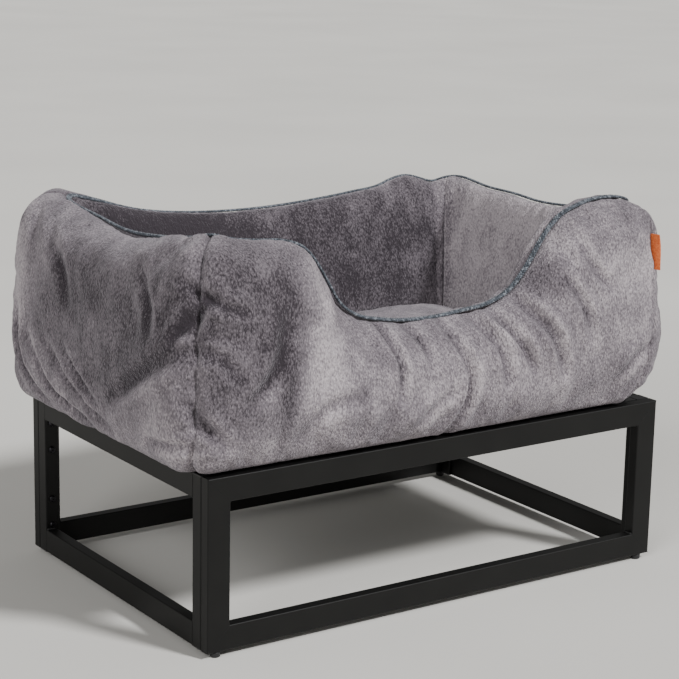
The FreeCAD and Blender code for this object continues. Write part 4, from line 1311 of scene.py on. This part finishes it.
# %% Draw in the seam, flatten the back for the zip and the foot for the floor
lumps(cushion, 90, 6, "cushion_lumps",
      eased(points_of(cushion)[:, 2], cushion_low.z + 0.01, cushion_low.z + 0.04))
skin = points_of(cushion)
facing = normals_of(cushion)
upright = 1 - np.abs(facing[:, 2])
to_welt = skin[:, 2] - cushion_middle
ripple = np.sin((skin[:, 0] + skin[:, 1]) / 0.0045)
ripple *= np.exp(-((np.abs(to_welt) - 0.01) / 0.01) ** 2)
front_and_ends = 1 - eased(skin[:, 1], 0.12, 0.17) * (1 - eased(np.abs(skin[:, 0]), 0.31, 0.335))
drawn = (-0.004 * np.exp(-(to_welt / 0.004) ** 2) + 0.0009 * ripple) * upright * front_and_ends
skin += facing * drawn[:, None]
skin[:, 2] = np.maximum(skin[:, 2], cushion_low.z + 0.0002)
skin[:, 0] = np.clip(skin[:, 0], -half_x, half_x)
skin[:, 1] = np.maximum(skin[:, 1], -half_y)
zip_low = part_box("cushion_zip_tape")[0]
zip_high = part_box("cushion_zip_tape")[1]
by_zip = eased(skin[:, 1], 0.15, 0.17) * (1 - eased(np.abs(skin[:, 0]), 0.302, 0.330))
by_zip *= 1 - eased(np.abs(to_welt), 0.013, 0.030)
skin[:, 1] = np.minimum(skin[:, 1] * (1 - by_zip) + (zip_low.y - 0.0003) * by_zip, half_y - 0.0002)
move_points(cushion, skin)
off_pad = eased(skin[:, 2], cushion_low.z + 0.004, cushion_low.z + 0.02)
lumps(cushion, 9, 1.4, "cushion_tufts", off_pad * (1 - by_zip))
smooth(cushion, 70)
install(cushion, "cushion_plush", plush, "cushion", "grey_plush",
        "cushion_filling", "cushion_cover")

# %% [markdown]
# ## The cushion's zip
#
# Two woven tapes are sewn to the case and meet along a nylon coil. Each tape is a thin block with
# its stitched edge raised. One tooth of the coil is a bent thread, repeated along the zip. The
# slider is a narrow block with a bridge on top, and its pull is a narrow plate with a hole, hung on
# that bridge.

# %% Zip tapes
zip_middle = (zip_low.z + zip_high.z) / 2
halves = []
for lower, upper in ((zip_low.z, zip_middle - 0.0004), (zip_middle + 0.0004, zip_high.z)):
    half = block((zip_low.x, zip_low.y, lower), (zip_high.x, zip_high.y - 0.0003, upper))
    bpy.ops.object.mode_set(mode="EDIT")
    bpy.ops.mesh.select_all(action="SELECT")
    bpy.ops.mesh.subdivide(number_cuts=24)
    bpy.ops.object.mode_set(mode="OBJECT")
    skin = points_of(half)
    rise = np.exp(-((np.abs(skin[:, 2] - zip_middle) - 0.0105) / 0.0012) ** 2)
    stitched = 0.5 + 0.5 * np.sin(skin[:, 0] / 0.0006)
    outside = skin[:, 1] > zip_low.y + 0.0004
    skin[:, 1] += outside * 0.0003 * rise * stitched
    move_points(half, skin)
    halves.append(half)
tapes = joined(halves)
smooth(tapes, 40)
install(tapes, "zip_tapes", zip_tape, "cushion", "zip_tape", "cushion_zip_tape")

# %% Zip coil
coil_low, coil_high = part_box("cushion_zip_coil")
TOOTH_PITCH = 0.002
start_clean()
bpy.ops.mesh.primitive_cylinder_add(vertices=6, radius=0.0005, depth=coil_high.z - coil_low.z,
                                    location=(0, 0, 0))
coil = bpy.context.object
bpy.ops.object.mode_set(mode="EDIT")
bpy.ops.mesh.select_all(action="SELECT")
bpy.ops.mesh.subdivide(number_cuts=1)
bpy.ops.object.mode_set(mode="OBJECT")
skin = points_of(coil)
share = skin[:, 2] / (coil_high.z - coil_low.z)
skin[:, 1] += 0.0009 * np.cos(np.pi * share) - 0.0004
skin[:, 0] += 0.0006 * share
skin += (coil_low.x + 0.001, coil_low.y + 0.0006, zip_middle)
move_points(coil, skin)
with_modifier(coil, "ARRAY", count=int((coil_high.x - coil_low.x - 0.002) / TOOTH_PITCH),
              use_relative_offset=False, use_constant_offset=True,
              constant_offset_displace=(TOOTH_PITCH, 0, 0))
smooth(coil, 60)
install(coil, "zip_teeth", zip_coil, "cushion", "zip_coil", "cushion_zip_coil")

# %% Zip slider
body_low, body_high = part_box("zip_slider")
slider = block(body_low, body_high - Vector((0, 0.0012, 0)))
resize(slider, (1.0, 1.0, 0.62))
round_edges(slider, 0.0008)
bridge_middle = (body_low + body_high) / 2
bridge = block((bridge_middle.x - 0.0034, body_high.y - 0.0018, zip_middle - 0.0009),
               (bridge_middle.x + 0.0034, body_high.y - 0.0001, zip_middle + 0.0009))
round_edges(bridge, 0.0007)
slider = joined([slider, bridge])
smooth(slider, 50)
install(slider, "slider_body", zip_metal, "zip_slider", "zip_metal", "zip_slider")

# %% Zip pull
pull_low, pull_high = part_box("zip_pull")
pull = block(pull_low, pull_high)
resize(pull, (0.8, 1.0, 1.0))
start_clean()
bpy.ops.mesh.primitive_cylinder_add(
    vertices=24, radius=0.0015, depth=0.01, rotation=(math.pi / 2, 0, 0),
    location=((pull_low.x + pull_high.x) / 2, pull_low.y, pull_low.z + 0.0035))
drill = bpy.context.object
with_modifier(pull, "BOOLEAN", object=drill, operation="DIFFERENCE", solver="EXACT")
bpy.data.objects.remove(drill)
round_edges(pull, 0.0004, 2)
smooth(pull, 40)
install(pull, "slider_pull", zip_metal, "zip_slider", "zip_metal", "zip_pull")
